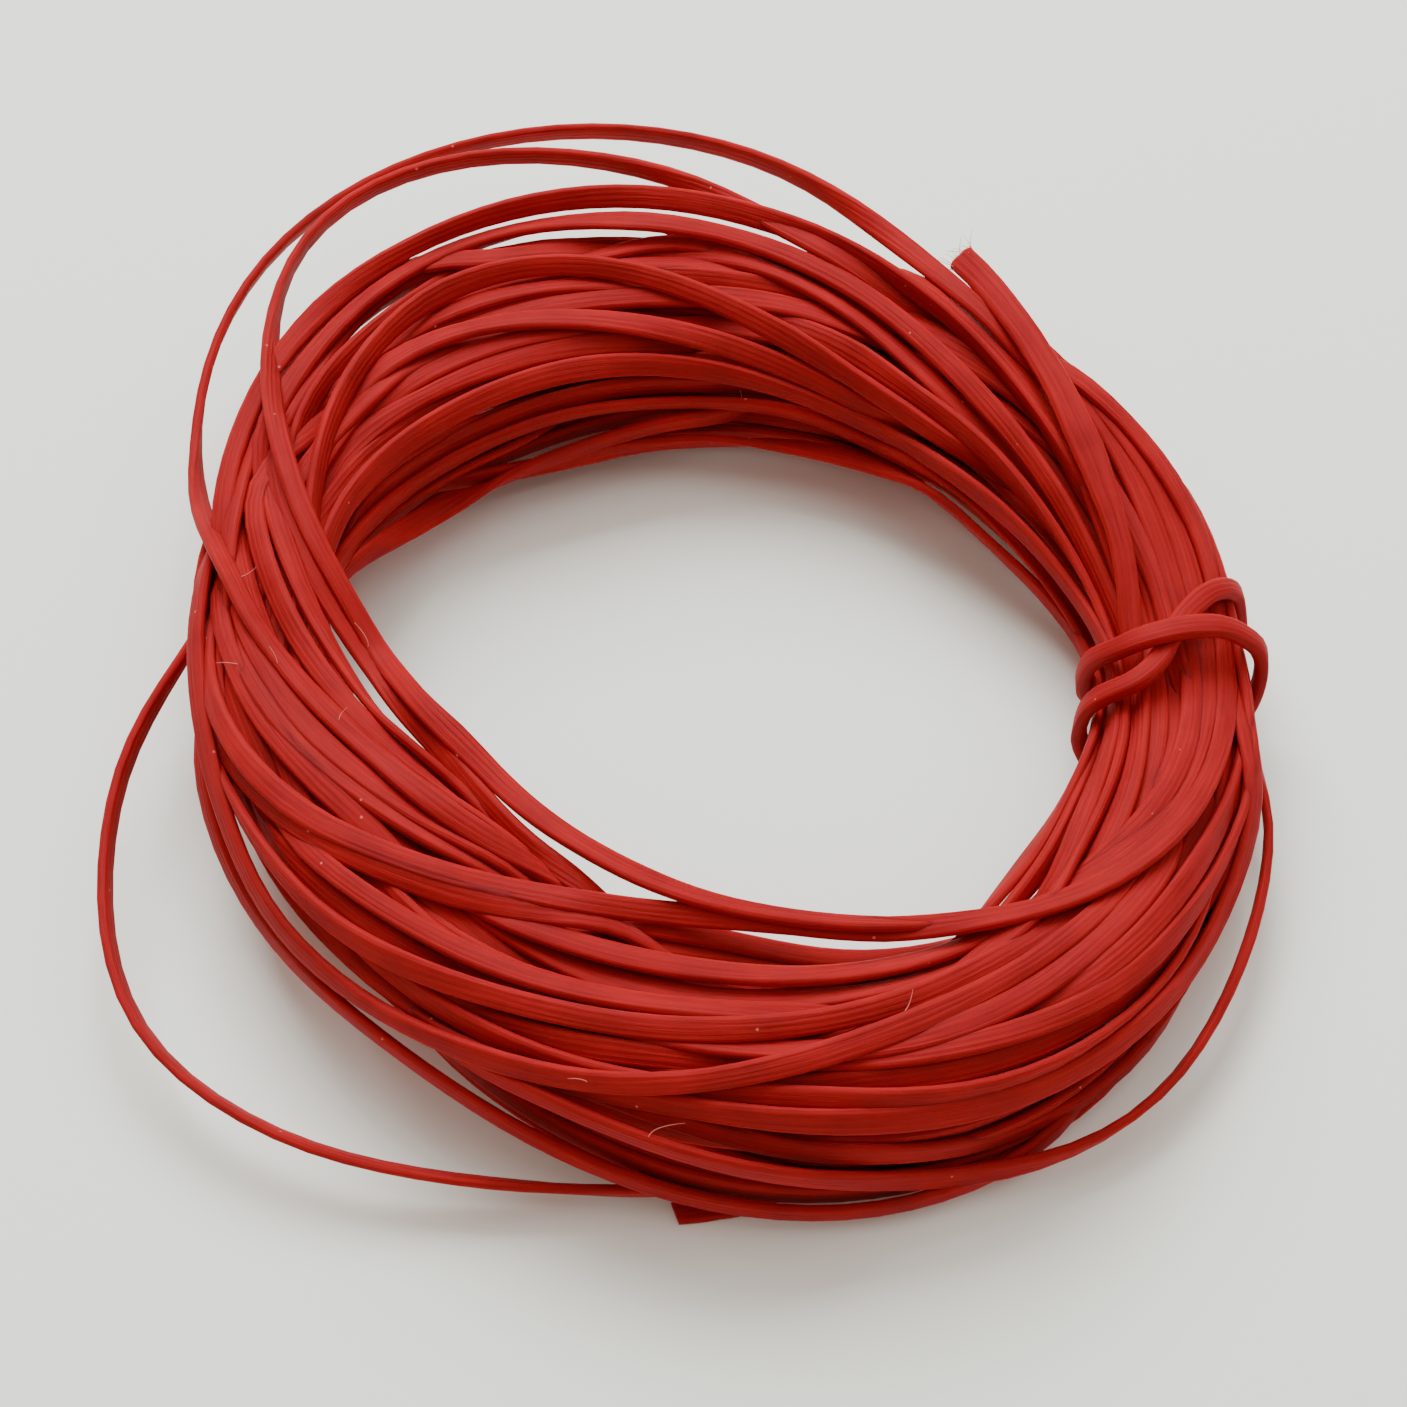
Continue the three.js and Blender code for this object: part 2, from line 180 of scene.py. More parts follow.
# The turns that show from above, each as level, roll at its first and last point in degrees,
# and points: degrees round the ring, lane. A lane is the share of the way from the ring's inner
# edge to its outer edge, as the camera sees them. Level 0 lies on top and level 1 a LAYER below.
# The rows of high levels show only between the others.
SEEN = (
    (0.0, 30, 0, ((302, 0.03), (306, 0.0), (310, -0.015), (320, -0.01), (330, 0.01), (340, 0.02),
                 (348, 0.05), (368, 0.01), (380, 0.04), (390, 0.065), (400, 0.10), (410, 0.115),
                 (420, 0.085), (435, 0.075), (450, 0.07), (466, 0.08), (472, 0.075), (480, 0.085),
                 (488, 0.10))),
    (0.3, 60, 0, ((306, 0.06), (312, 0.08), (320, 0.085), (330, 0.075), (340, 0.08), (348, 0.11),
                  (368, 0.085), (380, 0.12), (390, 0.15), (400, 0.175), (410, 0.17), (420, 0.165),
                  (430, 0.215), (440, 0.225), (450, 0.215), (470, 0.255), (480, 0.265), (500, 0.22),
                  (510, 0.215), (516, 0.24))),
    (0.0, 0, 0, ((318, 0.14), (325, 0.125), (345, 0.125), (350, 0.16), (368, 0.155), (380, 0.19),
                 (390, 0.215), (405, 0.22), (420, 0.24), (430, 0.27), (440, 0.315), (450, 0.355),
                 (460, 0.395), (470, 0.425), (480, 0.43), (490, 0.42), (500, 0.385), (510, 0.355),
                 (516, 0.32))),
    (-0.3, 0, 0, ((84, 0.155), (90, 0.16), (100, 0.145), (108, 0.115), (120, 0.11), (130, 0.07),
                 (140, 0.045), (150, 0.085), (156, 0.15))),
    (1.0, 20, 0, ((82, 0.285), (100, 0.305), (110, 0.32), (120, 0.32), (130, 0.30), (150, 0.285))),
    (1.0, 0, 0, ((116, 0.20), (125, 0.20), (135, 0.175), (145, 0.15), (155, 0.19))),
    (0.0, 75, 0, ((316, 0.165), (325, 0.195), (335, 0.22), (345, 0.215), (351, 0.235), (366, 0.22),
                  (375, 0.28), (390, 0.34), (405, 0.40), (420, 0.455), (432, 0.545))),
    (0.0, 0, 0, ((54, 0.29), (60, 0.295), (65, 0.32), (75, 0.375), (85, 0.44), (95, 0.515), (105, 0.595),
                 (115, 0.675), (125, 0.735), (136, 0.735))),
    (-0.5, 0, 70, ((48, 0.32), (60, 0.36), (70, 0.435), (80, 0.53), (90, 0.655), (100, 0.775),
                   (105, 0.83), (112, 0.875), (120, 0.90), (127, 0.87), (133, 0.81), (140, 0.70),
                   (145, 0.60), (150, 0.495), (153, 0.43))),
    (1.0, 0, 0, ((42, 0.43), (50, 0.475), (60, 0.56), (65, 0.63), (75, 0.73), (85, 0.80), (92, 0.85))),
    (0.0, 0, 30, ((322, 0.27), (330, 0.30), (335, 0.325), (345, 0.305), (352, 0.33), (366, 0.30),
                  (370, 0.31), (380, 0.38), (390, 0.45), (400, 0.505), (410, 0.58), (420, 0.68),
                  (430, 0.785), (440, 0.85), (450, 0.92), (460, 0.965), (470, 1.005), (480, 1.025),
                  (490, 1.0), (500, 0.925), (507, 0.86))),
    (0.2, 0, 0, ((328, 0.36), (335, 0.39), (345, 0.41), (352, 0.42), (366, 0.38), (370, 0.43),
                 (380, 0.51), (390, 0.60), (400, 0.70), (410, 0.79), (420, 0.90), (428, 0.96))),
    (0.0, 80, 30, ((22, 0.49), (30, 0.557), (40, 0.655), (50, 0.74), (60, 0.84), (70, 0.92), (80, 0.955),
                   (90, 1.02), (100, 1.065), (110, 1.09), (120, 1.095), (130, 1.085), (140, 1.045),
                   (150, 0.96), (157, 0.88))),
    (1.0, 0, 0, ((92, 0.45), (100, 0.475), (110, 0.515), (120, 0.53), (130, 0.53), (140, 0.54),
                 (147, 0.51))),
    (1.0, 10, 0, ((101, 0.53), (110, 0.585), (120, 0.61), (139, 0.61))),
    (1.0, 0, 0, ((92, 0.67), (100, 0.715), (110, 0.755), (120, 0.80), (131, 0.815))),
    (1.0, 0, 0, ((112, 0.93), (118, 0.965), (125, 0.97), (132, 0.94), (140, 0.86), (147, 0.80),
                 (153, 0.78))),
    (0.0, 0, 0, ((146, 0.90), (150, 0.76), (153, 0.63), (156, 0.50), (160, 0.32), (166, 0.12),
                 (170, 0.03), (175, -0.03), (180, -0.075), (185, -0.10), (190, -0.09), (200, -0.06),
                 (210, -0.045), (220, -0.04), (230, -0.03), (240, -0.02), (248, -0.02))),
    (0.0, 0, 0, ((150, 0.84), (155, 0.62), (160, 0.455), (163, 0.38), (170, 0.245), (175, 0.14),
                 (180, 0.09), (185, 0.06), (195, 0.045), (205, 0.03), (215, 0.0), (225, -0.015),
                 (232, 0.0))),
    (0.0, 0, 0, ((153, 0.84), (157, 0.74), (163, 0.58), (170, 0.42), (175, 0.335), (180, 0.24),
                 (185, 0.15), (190, 0.12), (200, 0.095), (210, 0.06), (220, 0.03), (228, 0.01),
                 (236, 0.0))),
    (0.0, 0, 0, ((171, 0.74), (175, 0.64), (180, 0.555), (190, 0.41), (200, 0.275), (210, 0.21),
                 (220, 0.14), (230, 0.08), (238, 0.03))),
    (0.0, 0, 0, ((172, 0.80), (180, 0.66), (190, 0.515), (200, 0.34), (210, 0.28), (220, 0.20),
                 (230, 0.12), (236, 0.09))),
    (0.0, 0, 0, ((170, 0.83), (175, 0.80), (180, 0.745), (190, 0.58), (200, 0.45), (210, 0.35))),
    (0.5, 0, 0, ((228, 0.30), (240, 0.235), (250, 0.19), (260, 0.15), (270, 0.13), (280, 0.115),
                 (290, 0.08), (300, 0.09), (307, 0.12))),
    (1.0, 0, 0, ((176, 0.81), (185, 0.75), (190, 0.72), (196, 0.67))),
    (-0.5, 0, 0, ((178, 0.92), (185, 0.89), (190, 0.835), (195, 0.73), (200, 0.635), (205, 0.535),
                  (210, 0.43), (215, 0.365), (220, 0.305), (225, 0.245), (230, 0.19), (235, 0.13),
                  (240, 0.09), (250, 0.025), (260, -0.04), (270, -0.08), (280, -0.085), (290, -0.07),
                  (300, -0.02), (305, 0.035), (310, 0.115), (315, 0.215), (320, 0.32), (330, 0.545),
                  (340, 0.745), (345, 0.82), (350, 0.87), (368, 0.94), (375, 0.945), (380, 0.935),
                  (390, 0.885), (402, 0.885))),
    (0.0, 0, 0, ((192, 0.85), (200, 0.70), (205, 0.60), (210, 0.505), (215, 0.43), (220, 0.37),
                 (225, 0.315), (230, 0.255), (240, 0.15), (250, 0.065), (256, 0.03))),
    (-0.3, 0, 0, ((166, 0.90), (170, 0.925), (175, 0.955), (190, 0.95), (200, 0.945), (210, 0.955),
                  (220, 0.90), (230, 0.84), (240, 0.77), (250, 0.695), (260, 0.605), (270, 0.505),
                  (280, 0.41), (290, 0.325), (300, 0.295), (310, 0.335), (320, 0.43), (324, 0.48))),
    (0.0, 0, 0, ((186, 0.97), (193, 1.01), (200, 1.03), (210, 0.99), (220, 0.955), (230, 0.92),
                 (240, 0.935), (250, 0.95), (260, 0.965), (270, 1.0), (280, 1.035), (290, 1.03),
                 (296, 1.02), (303, 0.98))),
    (0.0, 0, 0, ((188, 0.93), (195, 0.90), (205, 0.82), (210, 0.80), (215, 0.765), (220, 0.715),
                 (230, 0.615), (240, 0.52), (250, 0.45), (260, 0.39), (270, 0.335), (280, 0.29),
                 (290, 0.235), (300, 0.20), (305, 0.215), (312, 0.255))),
    (0.0, 0, 0, ((200, 0.74), (205, 0.68), (210, 0.62), (220, 0.535), (230, 0.48), (240, 0.415),
                 (250, 0.36), (260, 0.30), (270, 0.265), (278, 0.25))),
    (1.0, 0, 0, ((198, 0.80), (205, 0.745), (215, 0.675), (225, 0.60), (232, 0.56))),
    (1.0, 0, 0, ((238, 0.63), (250, 0.56), (260, 0.49), (268, 0.44))),
    (1.0, 0, 0, ((256, 0.68), (262, 0.69), (270, 0.755), (280, 0.80), (290, 0.86), (300, 0.935),
                 (310, 0.975), (316, 0.985))),
    (0.0, 0, 0, ((262, 0.64), (270, 0.655), (280, 0.675), (290, 0.715), (300, 0.785), (310, 0.87),
                 (315, 0.92), (320, 0.95), (330, 1.01), (340, 1.06), (346, 1.08))),
    (0.0, 0, 0, ((273, 0.565), (280, 0.58), (290, 0.645), (300, 0.72), (310, 0.80), (315, 0.85),
                 (322, 0.91))),
    (1.0, 0, 0, ((282, 0.51), (290, 0.545), (300, 0.60), (310, 0.71), (320, 0.84), (330, 0.93))),
    (0.0, 0, 0, ((286, 0.44), (295, 0.47), (300, 0.505), (305, 0.565), (310, 0.64), (315, 0.725),
                 (320, 0.78), (330, 0.875), (340, 1.01), (350, 1.08))),
    (0.0, 0, 0, ((284, 0.42), (290, 0.40), (300, 0.405), (310, 0.455), (320, 0.53), (333, 0.69))),
    (0.0, 0, 0, ((304, 0.48), (310, 0.55), (320, 0.67), (330, 0.77), (340, 0.89), (345, 0.97),
                 (350, 1.01))),
    (0.0, 0, 0, ((309, 0.07), (315, 0.15), (320, 0.24), (330, 0.455), (335, 0.555), (345, 0.70),
                 (350, 0.745), (368, 0.80), (380, 0.85), (390, 0.845), (402, 0.88))),
    (0.0, 0, 0, ((318, 0.20), (325, 0.30), (335, 0.48), (340, 0.55), (350, 0.665), (368, 0.675),
                 (380, 0.74), (390, 0.785), (400, 0.86), (408, 0.93))),
    (0.0, 0, 0, ((332, 0.39), (340, 0.465), (345, 0.525), (350, 0.59))),
    (1.0, -60, -60, ((250, 0.06), (256, 0.045), (262, 0.015), (266, 0.0), (270, 0.0), (273, 0.012),
                     (278, 0.03), (284, 0.047), (290, 0.058), (296, 0.068), (302, 0.08), (306, 0.09))),
    (2.4, 0, 0, ((155, 0.85), (160, 0.84), (167, 0.845), (175, 0.855), (183, 0.84))),
    (3.2, 0, 0, ((160, 0.87), (168, 0.885), (176, 0.90), (184, 0.91))),
    (0.4, 35, 0, ((117, 1.05), (122, 1.055), (128, 1.04), (134, 1.0), (140, 0.965), (146, 0.91),
                  (152, 0.84))),
    (0.6, 0, 30, ((96, 0.99), (104, 0.995), (112, 1.0), (120, 1.0), (128, 0.99), (136, 0.95),
                  (143, 0.90))),
    (1.0, 70, 60, ((108, 0.92), (112, 0.93), (116, 0.925), (120, 0.91), (124, 0.89), (128, 0.87),
                   (132, 0.862), (136, 0.847), (139, 0.825), (142, 0.80), (147, 0.75))),
    (1.4, 0, 20, ((236, 0.82), (245, 0.86), (255, 0.89), (265, 0.915), (275, 0.94), (285, 0.965),
                  (295, 0.965))),
    (2.4, 0, 0, ((240, 0.79), (250, 0.83), (260, 0.86), (270, 0.89), (280, 0.925), (292, 0.95))),
    (3.2, 0, 0, ((252, 0.91), (262, 0.93), (272, 0.955), (282, 0.975), (290, 0.975))),
    (1.6, 0, 0, ((278, 0.90), (286, 0.915), (295, 0.93), (305, 0.95), (315, 0.965), (322, 0.975))),
    (2.6, 0, 0, ((282, 0.95), (290, 0.965), (298, 0.98), (306, 0.985), (312, 0.985))),
    (1.2, 0, 0, ((284, 0.84), (292, 0.87), (300, 0.885), (308, 0.905), (314, 0.92))),
    (1.5, 0, 0, ((56, 0.115), (64, 0.12), (73, 0.12), (82, 0.115), (91, 0.11), (100, 0.10), (110, 0.10),
                 (120, 0.095), (130, 0.105), (138, 0.11), (146, 0.12), (152, 0.15))),
    (2.0, 0, 0, ((58, 0.185), (76, 0.185), (98, 0.185), (108, 0.19), (116, 0.185), (124, 0.17),
                 (132, 0.165), (140, 0.15), (148, 0.14))),
    (1.5, 0, -60, ((218, 0.05), (226, 0.045), (234, 0.05), (242, 0.075), (250, 0.105), (256, 0.108),
                   (262, 0.087), (268, 0.065), (274, 0.058), (280, 0.065), (286, 0.075))),
    (0.4, 0, 0, ((328, 0.94), (334, 0.965), (341, 0.99), (347, 1.01), (353, 0.98), (358, 0.96), (366, 1.0),
                 (372, 0.99), (378, 0.965), (386, 0.93))),
    (2.2, 40, 40, ((268, 0.735), (276, 0.755), (284, 0.775), (292, 0.80), (302, 0.83), (312, 0.865))),
    (0.9, 0, 0, ((158, 0.84), (162, 0.76), (167, 0.66), (172, 0.58), (178, 0.50))),
    (1.4, 0, 0, ((316, 0.70), (326, 0.70), (332, 0.72), (338, 0.76), (344, 0.80), (350, 0.83))),
    (3.3, 40, 40, ((262, 0.76), (272, 0.78), (280, 0.81), (290, 0.85), (300, 0.885), (308, 0.90))),
    (2.8, 45, 45, ((254, 0.775), (262, 0.795), (272, 0.82), (280, 0.85), (288, 0.88), (296, 0.905))),
    (1.8, -60, -60, ((198, 0.21), (208, 0.24), (218, 0.25), (226, 0.245), (236, 0.225), (246, 0.215),
                     (256, 0.205), (264, 0.19))),
)

# The turns that leave the ring for a stretch: level, roll where they leave, roll where they come
# back, roll once back, lanes before, the stretch as degrees, radius and height, and lanes after it
STRAYS = (
    (-0.3, 36, 74, 0, ((45, 0.84), (50, 0.87), (55, 0.91), (60, 0.95), (65, 1.0)),
     ((71, 0.0292, 0.0097), (75, 0.0311, 0.0090), (83, 0.0343, 0.0080), (89, 0.0362, 0.0075),
      (98, 0.0385, 0.0070), (107, 0.0396, 0.0070), (116, 0.0400, 0.0070), (124, 0.0397, 0.0070),
      (132, 0.0386, 0.0070), (142, 0.0361, 0.0070), (151, 0.0332, 0.0068), (158, 0.0308, 0.0068)),
     ((165, 0.87), (170, 0.705), (175, 0.51), (180, 0.41), (185, 0.285), (190, 0.225), (200, 0.165),
      (210, 0.13), (220, 0.085), (230, 0.04), (240, 0.02))),
    (-0.3, 44, 66, 60, ((70, 0.87), (80, 0.93)),
     ((87, 0.0296, 0.0099), (94, 0.0318, 0.0099), (99, 0.0340, 0.0090), (106, 0.0365, 0.0085),
      (113, 0.0379, 0.0083), (120, 0.0385, 0.0083), (128, 0.0375, 0.0085), (137, 0.0335, 0.0095),
      (143, 0.0305, 0.0104)),
     ((148, 0.81), (152, 0.57), (157, 0.32), (160, 0.20), (163, 0.11), (166, 0.04), (170, -0.045),
      (175, -0.12), (180, -0.17), (185, -0.19), (195, -0.15), (200, -0.14), (220, -0.13), (240, -0.145),
      (250, -0.14), (260, -0.125), (270, -0.11), (280, -0.11), (290, -0.09), (300, -0.035),
      (306, 0.02))),
    (1.2, 76, 78, 0, (),
     ((170, 0.0280, 0.0046), (177, 0.0293, 0.0046), (187, 0.0323, 0.0044), (196, 0.0341, 0.0038),
      (206, 0.0359, 0.0034), (213, 0.0366, 0.0032), (219, 0.0361, 0.0030), (230, 0.0344, 0.0025),
      (238, 0.0326, 0.0022), (247, 0.0309, 0.0018), (253, 0.0301, 0.0015)),
     ((258, 1.0), (264, 0.985))),
    (0.0, 80, 80, 0, ((242, 0.795), (250, 0.79), (260, 0.805), (270, 0.855), (280, 0.905), (287, 0.94)),
     ((298, 0.0326, 0.0018), (304, 0.0332, 0.0020), (311, 0.0333, 0.0021), (318, 0.0326, 0.0023),
      (326, 0.0319, 0.0025), (336, 0.0310, 0.0029), (347, 0.0300, 0.0029)),
     ()),
)

# How far across the ring free turns may lie, in lanes
CORE = (
    # degrees, inner lane, outer lane
    (0, 0.02, 1.02), (30, 0.07, 0.87), (60, 0.07, 0.90), (68, 0.07, 0.83), (85, 0.06, 0.83),
    (95, 0.06, 0.90), (101, 0.06, 0.92), (115, 0.10, 0.94), (122, 0.09, 1.02), (128, 0.07, 1.02),
    (136, 0.03, 0.99), (143, 0.02, 0.95), (149, 0.05, 0.90), (158, 0.14, 0.87), (163, 0.26, 0.88),
    (167, 0.31, 0.91), (173, 0.22, 0.92), (182, 0.10, 0.91), (195, 0.06, 0.84), (204, 0.05, 0.83),
    (210, 0.03, 0.83), (220, 0.0, 0.78), (232, 0.0, 0.77), (240, 0.0, 0.84), (255, 0.0, 0.93),
    (270, 0.02, 0.97), (285, 0.03, 0.96), (293, 0.05, 0.93), (300, 0.06, 0.96), (308, 0.11, 0.97),
    (314, 0.16, 0.99), (320, 0.17, 0.99), (326, 0.14, 1.0), (331, 0.05, 1.01), (345, 0.02, 1.05),
    (360, 0.02, 1.03),
)

# The cord's two ends, as degrees round the ring, radius and height: each clear of the ring, and on
# its way into it
CUT_END = (
    (263.6, 0.0301, 0.00026), (266.5, 0.0299, 0.00027), (270, 0.0295, 0.00028), (273, 0.0289, 0.0003),
)
CUT_END_TUCK = (
    (279, 0.0278, 0.0004), (286, 0.0268, 0.0005), (294, 0.0260, 0.0010), (302, 0.0257, 0.0018),
)
CUT_BEVEL = 0.3  # how far the cut slants, in cord widths
LOOSE_END = (
    (57.0, 0.0274, 0.0110), (52, 0.0261, 0.0116), (46.7, 0.0250, 0.0118), (38, 0.0238, 0.0115),
    (28, 0.0228, 0.0110), (18.1, 0.0223, 0.0103), (8, 0.0222, 0.0093),
)
LOOSE_END_ROOT = ((-14, 0.0224, 0.0066), (-7, 0.0222, 0.0072), (0, 0.0221, 0.0081))
LOOSE_WIDTH_SHARE = 1.28  # the loose end is pressed wider
LOOSE_WIDTH_REACH = 0.012
END_ROUNDING = 0.00022  # how far the last section stands out, and its size as shares
END_WIDTH_SHARE = 0.7
END_THICKNESS_SHARE = 0.6

# The tie, twice round the ring
TIE = (
    # degrees around the section, degrees along the ring, how far it rides over the ring's skin
    (224, -28.0, -0.0021), (219, -23.0, -0.0017), (212, -19.0, -0.0012), (200, -16.2, -0.0004),
    (183, -14.7, 0.0002), (164, -14.3, 0.0002), (143, -14.1, 0.0001), (118, -13.0, 0.0),
    (105, -10.9, 0.0), (96, -7.8, 0.0), (90, -3.8, 0.0), (79, -0.2, 0.0), (62, 2.0, 0.0),
    (38, 3.3, 0.0), (16, 3.5, 0.0), (-14, 2.4, 0.0001), (-60, 0.6, 0.0), (-90, -0.8, 0.0),
    (-132, -2.7, -0.0003), (-168, -4.1, 0.0001), (-198, -5.5, 0.0002), (-234, -6.8, 0.0003),
    (-258, -6.2, 0.0007), (-272, -4.9, 0.0008), (-290, -4.2, 0.0007), (-314, -4.0, 0.0005),
    (-338, -4.2, 0.0006), (-360, -5.3, 0.0004), (-385, -6.5, -0.0002), (-430, -7.2, 0.0),
    (-452, -6.6, -0.0001), (-470, -5.0, -0.0002), (-485, -0.8, -0.0003), (-492, 3.5, -0.0004),
    (-495, 8.0, -0.0005),
)

# Loose fibres: at the two ends, and single ones that stand out of the turns
HAIR_RADIUS = 0.000026
HAIR_TIP_SHARE = 0.35  # of the radius
HAIR_POINTS = 9
TIP_HAIRS = 26
CUT_HAIRS = 6
CUT_HAIR_SHARE = 0.4  # of the length of those at the tip
HAIR_ROOTS = (0.1, 0.9)  # how far across the cord's end they stand
HAIR_SPREAD = 0.38  # how far their headings differ
HAIR_CURL = 0.25
HAIR_SHORTEST = 0.25  # share of the longest
HAIR_UNEVENNESS = 1.5  # more makes short ones more common
HAIR_SUNK = 0.3  # share of the length that stays in the cord
STANDING_RISE = 0.5  # how far a single one leans out of its turn
STANDING_DEPTH = 0.00005  # how deep its root lies
STANDING_HAIRS = (
    # degrees round the ring, lane, degrees from the camera's right, curl, length in metres
    (83.5, 0.167, 90, 0.1, 0.0011), (178.5, 0.763, 175, 0.2, 0.0012), (178.0, 0.555, 60, 0.9, 0.0007),
    (169.0, 0.02, 65, 1.1, 0.0010), (185.8, 0.252, 100, -0.8, 0.0006), (164.8, 0.672, 5, 0.3, 0.0009),
    (218.5, 0.823, 2, 0.2, 0.0013), (252.5, 0.687, 130, 0.5, 0.0009), (260.2, 0.784, 75, -1.2, 0.0013),
    (301.8, 0.881, 50, 1.2, 0.0010), (290.5, 0.227, 20, 0.6, 0.0008),
)

# The fibres that the cord is made of: a pattern along the cord's UV map, which is in millimetres
MILLIMETRES = 1000.0  # in a metre
FIBRES_ALONG = 0.22  # in a millimetre
FIBRES_ACROSS = 5.5
FIBRE_LAYERS = ((1.0, 0.6), (2.4, 0.4))  # how much finer each layer is, and its share
FIBRE_LAYERS_APART = 3.1  # keeps the layers from being alike
FIBRE_DETAIL = 3.0
RIDGE_WIDTH = 0.3
RIDGE_DEPTH = 0.09  # a share of the fibres' own
RIDGE_WANDER = 1.5
BUMP_STRENGTH = 0.8
BUMP_DEPTH = 0.00009

# The cord's colour and gloss. The uneven depth of colour and the specks have so many cells to a
# metre, and the patches, which go along the UV map, so many to a millimetre
UNEVEN_SCALE = 260.0
UNEVEN_DETAIL = 4.0
PATCH_SCALE = 0.35
PATCH_DETAIL = 5.0
STREAK_STRENGTH = 1.1
DEEP_AT = 0.25  # the value up to which the colour is the deep one
PLAIN_AT = 0.75  # and the one from which it is the plain one
SPECK_SCALE = 1500.0
SPECK_SIZE = 0.12  # share of a speck's cell
CORD_GLOSS = (0.42, 0.2)  # least roughness, and how much the patches add
CORD_SHADER = {
    "Specular IOR Level": 0.04,
    "Subsurface Weight": 0.5,
    "Subsurface Radius": (1.0, 0.12, 0.08),
    "Subsurface Scale": 0.0007,
}

# The loose fibres' colour and gloss
FIBRE_SCALE = 900.0
FIBRE_WAX_AT = 0.3
FIBRE_PINK_AT = 0.7
FIBRE_GLOSS = (0.35, 0.2)

# The stage
FLOOR_SIZE = 3.0
FLOOR_DROP = 0.00002
FLOOR_SHADER = {
    "Base Color": (0.86, 0.88, 0.82, 1.0),
    "Roughness": 0.85,
    "Specular IOR Level": 0.2,
}
ROOM_COLOUR = (1.0, 0.83, 0.73, 1.0)
ROOM_LIGHT = 0.62
LIGHTS = (
    # name, place, size in metres, watts, colour
    ("window", (-0.07, 0.35, 0.44), 0.38, 5.8, (0.915, 0.99, 0.995)),
    ("ceiling", (0.20, 0.06, 0.55), 0.60, 1.9, (0.915, 0.99, 0.995)),
)


def smooth_step(share):
    """0 up to 0, 1 from 1, and a soft rise between them."""
    share = np.clip(share, 0.0, 1.0)
    return share * share * (3.0 - 2.0 * share)


def unit(vectors):
    """The vectors at length 1."""
    return vectors / np.maximum(np.linalg.norm(vectors, axis=-1, keepdims=True), 1e-12)


def degrees_from(angle, middle):
    """How many degrees these lie from the middle, the shorter way round."""
    return np.abs(np.mod(angle + (180.0 - middle), 360.0) - 180.0)


def smoothed(values, rounds):
    """The values after so many rounds in which each is drawn towards its two neighbours."""
    for _ in range(rounds):
        values[1:-1] = (values[:-2] + 2 * values[1:-1] + values[2:]) / 4
    return values


def straighten(curves, share):
    """Moves each value by this share of the way that its two neighbours pull it."""
    for values in curves:
        bend = np.zeros_like(values)
        bend[1:-1] = values[:-2] + values[2:] - 2 * values[1:-1]
        values += bend * share


def between(before, here, after, last, part):
    """A smooth curve through four points, at this part of its way from here to after."""
    return 0.5 * (2 * here + (after - before) * part
                  + (2 * before - 5 * here + 4 * after - last) * part ** 2
                  + (3 * here - before - 3 * after + last) * part ** 3)


def curve_through(points, step):
    """Points every step along a smooth curve through the given ones."""
    points = np.array(points, dtype=float)
    before = np.vstack((2 * points[0] - points[1], points[:-2]))
    after = np.vstack((points[2:], 2 * points[-1] - points[-2]))
    rows = []
    for first, here, there, last in zip(before, points[:-1], points[1:], after):
        count = max(1, int(math.ceil(np.linalg.norm(there - here) / step)))
        part = (np.arange(count) / count)[:, None]
        rows.append(between(first, here, there, last, part))
    rows.append(points[-1:])
    return np.vstack(rows)


def nearest(places, place):
    """The number of the place nearest to this one."""
    return int(np.argmin(np.linalg.norm(places - place, axis=1)))


def smooth_noise(draw, size, stations):
    """Numbers of about 1 that change over that many stations."""
    knots = draw.standard_normal(size // stations + 3)
    return np.interp(np.arange(size) / stations, np.arange(len(knots)), knots)


# The ring's form

def section_at(angle):
    """The ring's inner radius, outer radius, height and lift at these degrees round it."""
    table = np.array(SECTIONS)
    place = np.mod(angle, 360.0) * len(table) / 360.0
    first = np.floor(place).astype(int)
    part = (place - first)[..., None]
    before, here, after, last = (table[(first + shift) % len(table)] for shift in (-1, 0, 1, 2))
    return np.moveaxis(between(before, here, after, last, part), -1, 0)


def middle_and_halves(angle):
    """The middle of the ring's section as radius and height, and its half width and half height."""
    inner, outer, height, lift = section_at(angle)
    return ((inner + outer) / 2, (height - UNDERSIDE_CUT) / 2 + np.maximum(lift, 0.0),
            (outer - inner) / 2, (height + UNDERSIDE_CUT) / 2)


def ring_point(angle, radius, height):
    """The place at these degrees round the ring."""
    turn = np.radians(angle)
    return np.stack(np.broadcast_arrays(RING_CENTRE[0] + radius * np.cos(turn),
                                        RING_CENTRE[1] + radius * np.sin(turn), height), -1)


def ring_place(places):
    """Degrees round the ring, radius and height of these places."""
    across = places[..., 0] - RING_CENTRE[0]
    along = places[..., 1] - RING_CENTRE[1]
    return np.degrees(np.arctan2(along, across)), np.hypot(across, along), places[..., 2]


def skin_point(along, around, proud):
    """The place proud of the ring's skin, at degrees along the ring and around its section."""
    radius, height, half_width, half_height = middle_and_halves(along)
    power = 2.0 / SECTION_SQUARENESS
    across = np.cos(np.radians(around))
    up = np.sin(np.radians(around))
    across = np.sign(across) * np.abs(across) ** power
    up = np.sign(up) * np.abs(up) ** power
    lift = np.maximum(section_at(along)[3], 0.0)
    return ring_point(along, radius + across * (half_width + proud),
                      np.maximum(height + up * (half_height + proud), lift - np.maximum(proud, 0.0)))


